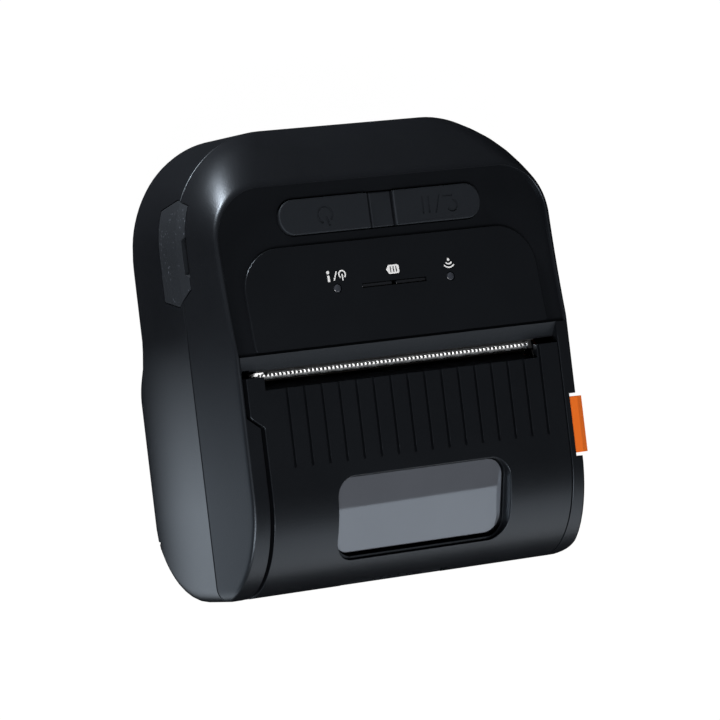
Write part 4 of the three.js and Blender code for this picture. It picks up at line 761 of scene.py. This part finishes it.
def front_case():
    far = 2 * (body.half_width + overrun)
    w = body.front_wall
    inner_front = slot.crossbar - overrun
    facet_z = body.front - slot.facet_depth
    facet_fall = slot.facet_depth + w
    facet_inner = prism_x([
        (slot.crossbar, body.front - facet_fall), (inner_front, body.front - facet_fall - overrun / 2),
        (inner_front, body.front - w), (slot.facet_top - w / 2, body.front - w),
    ], -leg_left, leg_right)
    hollow = cut(front_form(w, body.parting - overrun), facet_inner)
    floor = cut(lipped(recess_outline(), front_z, recess.lip, 0, far, 1, 1.5, floor=recess_z),
                block(-far, far, -far, slot.facet_top - hair, 0, far))
    facet = prism_x([(slot.facet_top, body.front - slot.skim), (slot.facet_top, far), (inner_front, far),
                     (inner_front, facet_z), (slot.crossbar, facet_z)], -ear_left, leg_right)
    shell = cut(front_form(0, fillet=body.crest_fillet, lip=body.seam_lip), hollow, floor, facet,
                lipped(lid_opening(0), front_z, legs.lip, 0, far, 1, 1.5),
                prism_z(key_outline(gap), body.parting, far), *lamp_holes(gap, body.parting, far))
    start = body.parting + body.seam / 2
    for i, (x, y, radius, _) in enumerate(SCREWS):
        top = crest_z if i < 2 else platen.z + gap
        boss = keep(rod_z(x, y, radius, start, top), front_form(w / 2, start - 1))
        shell = cut(join(shell, boss), rod_z(x, y, screws.shank + running, 0, start + screws.thread))
    low, high = lever.low - lever.end_gap, lever.top + lever.end_gap
    grip = block(-far, boards.left, ports.finger_low, ports.finger_high, body.parting - 1,
                 ports.front - gap)
    return cut(shell, block(lever.notch_inner, far, low, high, lever.notch_back, far),
               block(lid_right, far, low, high, lever.notch_back, lever.flange_z), *port_pocket(), grip)


def rear_case():
    top = body.parting - body.seam / 2
    far = 2 * (body.half_width + overrun)
    shell = cut(rear_form(0, fillet=body.back_fillet, lip=body.seam_lip),
                rear_form(body.wall, top + overrun))
    half, low, high = battery.half + gap, battery.low - gap, battery.high + gap
    w, deep = battery.wall, battery.thick + gap
    bay = keep(block(-half - w, half + w, low - w, high + w, overlap, deep + w), rear_form(overlap, top))
    posts = [keep(rod_z(x, y, radius, back + body.wall / 2, top), rear_form(body.wall / 2, top))
             for x, y, radius, back in SCREWS]
    shell = cut(join(shell, bay, *posts), block(-half, half, low, high, -overrun, deep), *port_pocket(),
                block(-leg_left - gap, leg_right, -far, hinge_y + hinge.reach, top - lid.relief, far))
    outer = -body.half_length + gap
    for x in (hinge.left + hinge.lug_inset, hinge.right - hinge.lug_inset - hinge.lug):
        web = block(x, x + hinge.lug, outer, outer + hinge.web, body.parting - hinge.reach, hinge_z)
        shell = join(shell, join(rod_x(hinge_y, hinge_z, hinge.knuckle - running, x, x + hinge.lug), web))
    shell = cut(shell, rod_x(hinge_y, hinge_z, hinge.pin + running, -far / 2, far / 2))
    for x, y, _, back in SCREWS:
        head_top = back + screws.sink + screws.head_high
        shell = cut(shell, rod_z(x, y, screws.head + running, -overrun, head_top),
                    rod_z(x, y, screws.shank + running, 0, body.front))
    latch_low = battery.high + gap + w
    latch_high = latch_low + battery.latch + battery.travel + 2 * gap
    half, tongue = battery.latch_half + gap, battery.tongue + gap
    return cut(shell, block(-half, half, latch_low, latch_high, -overrun, body.upper_back + body.wall + gap),
               block(-tongue, tongue, battery.high, latch_low + gap, battery.tongue_z - gap,
                     battery.tongue_z + battery.tongue_high + gap))


def lid_outline():
    far = -2 * body.half_length
    ear = lid.left_gap - ear_left
    return [(lid_right, far), (lid_right, lid.ear_top), (lid.notch_right, lid.ear_top),
            (lid.notch_right, lid.top), (lid.notch_left, lid.top), (lid.notch_left, lid.ear_top),
            (ear, lid.ear_top), (ear, legs.kink_y), (lid_left, legs.kink_y - legs.kink), (lid_left, far)]


def pane_outline(grow):
    r = pane.corner + grow
    half = pane.half + grow
    return rounded(pane.x - half, pane.x + half, pane.low - grow, pane.top + grow, [r] * 4, 12)


def pane_z(y, rise=0.0):
    return pane.low_z + pane.fall * (y - pane.low) + rise


def pane_band(low, high):
    y0, y1 = pane.low - overrun, pane.top + overrun
    reach = body.half_width + overrun
    return prism_x([(y0, pane_z(y0, low)), (y1, pane_z(y1, low)), (y1, pane_z(y1, high)),
                    (y0, pane_z(y0, high))], -reach, reach)


def under_skin(solid):
    """What of a solid lies below the middle of the lid's wall"""
    return keep(solid, front_form(lid.wall / 2))


def lid_shell():
    far = 2 * body.half_length
    outside = keep(front_form(0, body.parting - 1),
                   lipped(lid_outline(), front_z, lid.lip, lid.bottom, far, -1, 1.5))
    skin = cut(outside, front_form(lid.wall, body.parting - overrun))
    low, high = -body.half_length + body.front_end / 2, legs.kink_y - legs.kink
    stiffeners = [block(x0, x1, low, high, platen.z + lid.skirt_rise, far)
                  for x0, x1 in ((lid_right - lid.skirt, lid_right), (lid_left, lid_left + lid.skirt))]
    stiffeners.append(block(lid_left, lid_right, lid.stiff_y - lid.skirt, lid.stiff_y,
                            body.front - lid.wall - lid.stiff, far))
    skin = join(skin, *[under_skin(bar) for bar in stiffeners])
    for x0, x1 in ((arms.low, arms.high), (-arms.high, -arms.low)):
        web = block(x0, x1, lid.stiff_y - lid.skirt, platen.y + platen.arm - platen.web, platen.z, far)
        eye = join(rod_x(platen.y, platen.z, platen.arm, x0, x1, 48), under_skin(web))
        bore = rod_x(platen.y, platen.z, platen.bush + running, x0 - gap, x1 + gap, 40)
        skin = cut(join(skin, eye), bore)
    knuckles = [rod_x(hinge_y, hinge_z, hinge.knuckle, x, x + hinge.width)
                for x in (hinge.left - hinge.side - hinge.width, hinge.right + hinge.side)]
    skin = cut(join(skin, *knuckles), rod_x(hinge_y, hinge_z, hinge.pin + running, -far, far),
               block(hinge.left, hinge.right, -far, hinge_y + overrun, 0, lid.bottom + hinge.notch))
    wall = under_skin(prism_z(pane_outline(pane.well), 0, far))
    skin = join(skin, keep(wall, pane_band(-pane.thick - pane.ledge, far)))
    mouth = keep(lipped(pane_outline(0), front_z, pane.lip, 0, far, 1, 1.2, 5),
                 pane_band(-pane.thick - gap, far))
    skin = cut(skin, mouth, prism_z(pane_outline(-pane.ledge), 0, far))
    first = lid.rib_centre - (lid.count - 1) / 2 * lid.pitch
    return cut(skin, in_a_row(groove(), lid.count, lid.pitch, first))


GROOVE_RUN_SHARES = [(1.4, 1.0), (0.5, 0.72), (0.0, 0.0)]


def groove():
    """Tapered slot in the lid's grip field, with flared edges, rising out at its lower end"""
    low, wide = lid.top - lid.rib_length, lid.rib_width / 2
    levels = [(lid.top + overrun, 1.0)] + [(low + run * lid.run, share) for run, share in GROOVE_RUN_SHARES]
    side = [(wide + lid.flare + lid.rim, lid.rim), (wide + lid.flare, 0.0), (wide, -lid.flare),
            (wide - lid.draft, -1.0)]
    section = [(-a, b) for a, b in side] + side[::-1]
    rings = []
    for y, share in levels:
        ring = []
        for a, b in section:
            depth = b * lid.rib_depth * share if b <= -1 else b * share if b < 0 else b
            ring.append((a, y, body.front + depth))
        rings.append(ring)
    return stack(rings)


CASE = "case"
piece("front_case", front_case(), LIPPED, CASE, ["front_shell"], curves=[front_z, recess_z])
piece("rear_case", rear_case(), REAR, CASE, ["rear_shell"], curves=[back_z])
piece("lid_shell", lid_shell(), SHELL, "cover", ["paper_cover"], curves=[front_z])


# Keys, panel and lamps

def ring_mark(x, y, outer, inner, start, end, low=0, high=1):
    """Arc of a ring between two angles in degrees"""
    start, end, steps = math.radians(start), math.radians(end), 40
    return prism_z(arc(x, y, outer, start, end, steps) + arc(x, y, inner, end, start, steps), low, high)


def bar_mark(x, y, length, width, turn, low=0, high=1):
    """Straight bar, turned by an angle in degrees"""
    turn = math.radians(turn)
    dx, dy = math.cos(turn) * length / 2, math.sin(turn) * length / 2
    nx, ny = -math.sin(turn) * width / 2, math.cos(turn) * width / 2
    return prism_z([(x - dx - nx, y - dy - ny), (x + dx - nx, y + dy - ny),
                    (x + dx + nx, y + dy + ny), (x - dx + nx, y - dy + ny)], low, high)


def key_cap(x0, x1, radii, lift, step_in):
    """Cap of a key, cut off inside the front wall, with a flange there that is stepped in at its ends"""
    low, f = inside_z - keys.flange_thick, keys.flange
    cap = lipped(rounded(x0, x1, keys.low, keys.high, radii, 12), lambda y: recess_z(y) + lift, keys.lip,
                 0, None, -1, 1.5, floor=lambda y: recess_z(y) - keys.depth)
    trim = block(x0 - f, x1 + f, keys.low - f, keys.high + f, body.parting, low)
    flange = block(x0 + step_in, x1 - step_in, keys.low - f, keys.high + f, low, inside_z)
    return join(cut(cap, trim), flange)


def pressed_key(x0, x1, radii, middle, marks):
    """Key on a stem, with its marks cut in around a middle"""
    cap = key_cap(x0, x1, radii, keys.lift, 2 * keys.flange)
    stem = rod_z((x0 + x1) / 2, mark_y, keys.stem,
                 inside_z - keys.flange_thick - keys.stem_length, inside_z, 16)
    low, high = recess_z(mark_y) + keys.lift - keys.mark, body.front + 1
    return cut(join(cap, stem), *[kind(middle + dx, mark_y + dy, *sizes, low, high)
                                  for kind, dx, dy, *sizes in marks])


# Marks on the keys: kind, place from the middle of the mark, sizes and angles
POWER_MARKS = [(ring_mark, 0, 0, 2.45, 1.85, -40, 250), (bar_mark, 0.7, -1.7, 2.6, 0.6, -70)]
FEED_MARKS = [(bar_mark, -4.6, 0, 4.4, 0.5, 90), (bar_mark, -2.7, 0, 4.4, 0.5, 90),
              (bar_mark, 0, 0, 4.9, 0.45, 72), (bar_mark, 3.3, 1.9, 3.0, 0.5, 0),
              (ring_mark, 4.4, -0.7, 1.75, 1.25, -150, 80)]
power_x, feed_x = -17.6, 16.6
mark_y = (keys.low + keys.high) / 2
inside_z = front_z(keys.high) - body.front_wall - gap
power = pressed_key(keys.left, keys.bridge_left - gap, [keys.end, gap, gap, keys.end], power_x, POWER_MARKS)
piece("power_key_cap", power, RUBBER, "power_button", ["power_key"])
feed = pressed_key(keys.bridge_right + gap, keys.right, [gap, keys.end, keys.end, gap], feed_x, FEED_MARKS)
piece("feed_key_cap", feed, RUBBER, "feed_button", ["feed_key"])
bridge = key_cap(keys.bridge_left + gap, keys.bridge_right - gap, [gap] * 4, keys.bridge_lift, 0)
piece("key_bridge_cap", bridge, RUBBER, CASE, ["key_bridge"])


def panel_z(y):
    return recess_z(y) + panel.lift + panel.thick


def overlay_sheet():
    small = recess.small
    outline = rounded(-panel.half, panel.half, panel.low, panel.high,
                      [small, small, panel.corner, panel.corner], 12)
    sheet = lipped(outline, panel_z, panel.lip, 0, None, -1, 1.5, 3,
                   floor=lambda y: recess_z(y) + panel.lift)
    return cut(sheet, *lamp_holes(gap / 2, 0, body.front + overrun))


piece("overlay_sheet", overlay_sheet(), PANEL, CASE, ["indicator_panel"], curves=[panel_z])

lamp_low = boards.key_z + boards.key_thick + gap / 2
lamp_top = panel_z(lamps.y) + lamps.lift


def dome(x, y, radius, low, top, steps=6, sides=28):
    rings = [[(a, b, low) for a, b in circle(x, y, radius, sides)]]
    for k in range(steps):
        t = RIGHT * k / steps
        z = top - lamps.dome + lamps.dome * math.sin(t)
        rings.append([(a, b, z) for a, b in circle(x, y, radius * math.cos(t), sides)])
    return stack(rings)


for side, node in ((-1, "status_lens_left"), (1, "status_lens_right")):
    lens = dome(side * lamps.x, lamps.y, lamps.radius, lamp_low, lamp_top - lamps.dome_drop)
    piece(node + "_dome", lens, LENS, CASE, [node])
base_top = front_z(lamps.y) - body.front_wall - gap - lamps.drop
wide = lamps.bar_width / 2
level = block(-lamps.bar, lamps.bar, lamps.y - lamps.base / 2, lamps.y + lamps.base / 2, lamp_low, base_top)
for x0, x1 in ((-lamps.bar, -lamps.bar_gap / 2), (lamps.bar_gap / 2, lamps.bar)):
    outline = rounded(x0, x1, lamps.y - wide, lamps.y + wide, [lamps.bar_corner] * 4, 4)
    level = join(level, lipped(outline, lambda y: lamp_top - lamps.bar_drop, lamps.bar_lip, lamp_low,
                               None, -1, 2.0, 3))
piece("level_lens_bars", level, LEVEL, CASE, ["battery_level_lens"])


# Cover window, port cover and tear blade

def pane_sheet():
    r, half = pane.corner - pane.tighter, pane.half - gap / 2
    outline = rounded(pane.x - half, pane.x + half - pane.shade / 3, pane.low + pane.shade,
                      pane.top - gap / 2, [r] * 4, 12)
    return lipped(outline, pane_z, pane.edge, 0, None, -1, 1.5, 3, floor=lambda y: pane_z(y) - pane.thick)


piece("window_pane", pane_sheet(), PANE, "cover", ["cover_window"])


def port_flap():
    shell = cut(whole_form(0), whole_form(ports.thick))
    return keep(shell, prism_x(port_outline(0, True), -body.half_width - overrun, 0))


piece("port_flap", port_flap(), SEAL, "port_flap", ["port_cover"], angle=50)


def tear_blade():
    """Slanted strip with a flatter toothed bevel, its flange behind it and the tab at its left end"""
    t = tear
    high = t.low_z + t.rise
    bend_y, bend_z = t.low + t.strip, t.low_z + t.strip
    tip_y, tip_z = bend_y + t.bevel, bend_z + t.bevel * t.slope
    blade = prism_x([(t.low, t.low_z), (t.low + t.thick, t.low_z), (tip_y, tip_z - t.flange), (tip_y, tip_z),
                     (bend_y, bend_z)], -t.left, t.right)
    flange = prism_x([(t.flange_y, t.flange_z), (t.flange_y + t.flange, t.flange_z),
                      (t.flange_y + t.flange, tip_z - t.flange), (t.flange_y, tip_z - t.flange / 2)],
                     -t.flange_end, min(t.right, t.flange_end))
    half, root_y = t.pitch / 2 - t.land, tip_y - t.depth
    start_y, past_y = tip_y + hair, tip_y + t.past
    space = prism_z([(-half, start_y), (-t.root, root_y), (t.root, root_y), (half, start_y),
                     (half, past_y), (-half, past_y)], tip_z - t.flange - t.under, high)
    count = int((t.left + t.right) / t.pitch)
    spaces = in_a_row(space, count, t.pitch, t.pitch / 2 - t.left, TEAR)
    y0, z0 = lid.ear_top + gap, bend_z - t.past
    y1 = y0 + t.tab_wide
    tab = prism_x([(y0, z0 - t.tab_thick), (y1, z0 - t.tab_thick), (y1, z0 + t.tab_wide * t.slope),
                   (y0, z0)], -t.tab, -t.left + t.pitch)
    return join(cut(join(blade, flange), spaces), tab)


piece("tear_blade", tear_blade(), TEAR, CASE, ["tear_bar"])


# Signs printed on the overlay
def sign(name, marks, cuts=(), sink=0.03, thick=0.08):
    """Flat marks between heights 0 and 1, laid on the overlay as a thin print"""
    mesh = cut(join(*marks), *cuts)
    for corner in mesh.vertices:
        corner.co.z = panel_z(corner.co.y) - sink + thick * corner.co.z
    piece(name, mesh, SIGN, CASE)


sign("info_sign", [rod_z(-19.4, 20.85, 0.42, 0, 1, 20), bar_mark(-19.4, 19.25, 1.6, 0.62, 90),
                   bar_mark(-17.35, 19.8, 2.5, 0.32, 66), ring_mark(-15.25, 20.05, 1.12, 0.78, -50, 230),
                   bar_mark(-15.25, 19.3, 1.6, 0.33, 90)])
cell = [prism_z(rounded(-1.45, 1.95, 18.85, 21.15, [0.5] * 4, 6), 0, 1),
        prism_z([(-2.0, 20.0), (-1.2, 19.1), (-1.2, 20.9)], 0, 1)]
sign("cell_sign", cell, [bar_mark(x, 20.0, 1.5, 0.36, 90, -1, 2) for x in (-0.6, 0.25, 1.1)])
sign("waves_sign", [rod_z(17.2, 20.95, 0.36, 0, 1, 20), ring_mark(17.2, 20.95, 1.3, 0.95, -142, -38),
                    ring_mark(17.2, 20.95, 2.2, 1.85, -138, -42)])


# The rest of the part keeps its solids

FINISHES = [
    (BEZEL, "window_bezel"), (ORANGE, "release_lever"), (GROUND, "platen_roller"), (CERAMIC, "print_head"),
    (ALUMINIUM, "head_heat_sink"), (REAR, "battery_pack"), (BOARD, "main_board key_board"),
    (BRASS, "motor_pinion battery_contacts"),
    (TURNED, "lever_pivot_pin latch_shaft platen_shaft first_idler_axle second_idler_axle motor_shaft"),
    (TURNED, "hinge_pin"),
    (STEEL, "latch_spring stepper_motor mechanism_frame head_spring_left head_spring_right usb_socket"),
    (INNER, "media_tub media_guide_left media_guide_right power_switch feed_switch power_socket"),
    (INNER, "media_sensor battery_latch"),
    (ACETAL, "guide_pinion platen_bush_left platen_bush_right platen_gear first_idler_gear"),
    (ACETAL, "second_idler_gear head_flat_cable"),
    (SPRING, "cover_spring case_screw_1 case_screw_2 case_screw_3 case_screw_4"),
]


def softened(thing, width=0.12, angle=35):
    """Small rounded edges and smooth curves on a solid carried over from model.glb"""
    weld = thing.modifiers.new("weld", "WELD")
    weld.merge_threshold = 2e-6
    bevel = thing.modifiers.new("edges", "BEVEL")
    bevel.width, bevel.segments, bevel.limit_method = width * MM, 2, "ANGLE"
    bevel.angle_limit, bevel.use_clamp_overlap = math.radians(angle), True
    weigh_normals(thing)


for paint, names in FINISHES:
    for node in names.split():
        solid = NODES[node]
        solid.data.materials.clear()
        solid.data.materials.append(paint)
        softened(solid)


# Floor, lights and camera

def white_floor(half=4, drop=0.0005):
    """Pale floor that shines white to the camera; to glossy rays it shows a painted reflection, a bluish
    glowing patch left of the object towards its low end and half as strong further out, and painted black
    shade everywhere else
    """
    corners = [(a * half, b * half, -drop) for a, b in ((-1, -1), (1, -1), (1, 1), (-1, 1))]
    mesh = mesh_from(corners, [(0, 1, 2, 3)])
    p = Paint("floor_white")
    path = p.node("ShaderNodeLightPath", {}, {})
    seen = Field(p, path.socket.node.outputs["Is Camera Ray"])
    mirrored = Field(p, path.socket.node.outputs["Is Glossy Ray"])
    x, y, _ = p.axes()
    plain = p.node("ShaderNodeBsdfDiffuse", {}, {"Color": (0.85, 0.85, 0.85, 1.0)})
    # Emissions for the floor: plain white to the camera, then a painted reflection glow and painted black
    # shade, both seen only in reflections
    bright, painted_reflection_glow, dark = [
        p.node("ShaderNodeEmission", {}, {"Color": (*tint, 1), "Strength": strength})
        for tint, strength in (((1, 1, 1), 1.03), ((0.84, 0.92, 1), 1.9), ((0, 0, 0), 0.0))]
    # Where the painted reflection glows: left of the object, towards its low end, halved further out
    painted_reflection_patch = (-x).above(0.055, 0.01) * (-y).above(0.014, 0.045) * (1.0 - (-x).above(0.08, 0.02) * 0.5)
    both = p.blend(mirrored, p.blend(seen * 0.96, plain, bright), p.blend(painted_reflection_patch, dark, painted_reflection_glow))
    p.tree.links.new(both.socket, p.output.inputs[0])
    mesh.materials.append(p.material)
    linked("floor", mesh)


def area_light(name, width, height, power):
    lamp = bpy.data.lights.new(name, "AREA")
    lamp.shape, lamp.size, lamp.size_y, lamp.energy = "RECTANGLE", width, height, power
    thing = linked(name, lamp)
    thing.visible_camera = False
    return thing


def softbox(name, place, aim, width, height, power):
    thing = area_light(name, width, height, power)
    thing.location = place
    thing.rotation_euler = (Vector(aim) - Vector(place)).to_track_quat("-Z", "Y").to_euler()


def card(name, corner, end, drop, power):
    """Upright panel of light hung from the edge between two points"""
    corner, end, drop = Vector(corner), Vector(end), Vector(drop)
    across = (end - corner).normalized()
    drop -= across * drop.dot(across)
    facing = across.cross(drop).normalized()
    centre = (corner + end) / 2 + drop / 2
    if facing.dot(centre) > 0:
        facing = -facing
    thing = area_light(name, (end - corner).length, drop.length, power)
    turn = Matrix((across, (-facing).cross(across), -facing)).transposed()
    thing.matrix_world = Matrix.Translation(centre) @ turn.to_4x4()


white_floor()
softbox("left_box", (-0.36, -0.42, 0.64), (0, 0, 0.03), 0.3, 0.3, 5.6)
softbox("corner_box", (-0.27, 0.48, 0.055), (-0.04, 0.045, 0.04), 0.16, 0.1, 5.6)
card("right_card", (0.09, -0.3538, 0.4956), (0.55, -0.3064, 0.434), (0, -0.09, -0.42), 1.1)

world = bpy.data.worlds.new("studio")
SCENE.world = world
world.use_nodes = True
background = world.node_tree.nodes["Background"].inputs
background[0].default_value = (1, 1, 1, 1)
background[1].default_value = 0.05

camera = bpy.data.cameras.new("camera")
camera.sensor_width, camera.lens = 36, 230.2
camera.clip_start, camera.clip_end = 0.05, 20
eye = linked("camera", camera)
eye.matrix_world = Matrix(((0.8445941, 0.1003200, -0.5259246, -0.629073),
                           (-0.1180767, 0.9930045, -0.0002067, -0.002366),
                           (0.5222247, 0.0622740, 0.8505312, 1.047316),
                           (0, 0, 0, 1)))
SCENE.camera = eye
SCENE.view_settings.view_transform = "Standard"
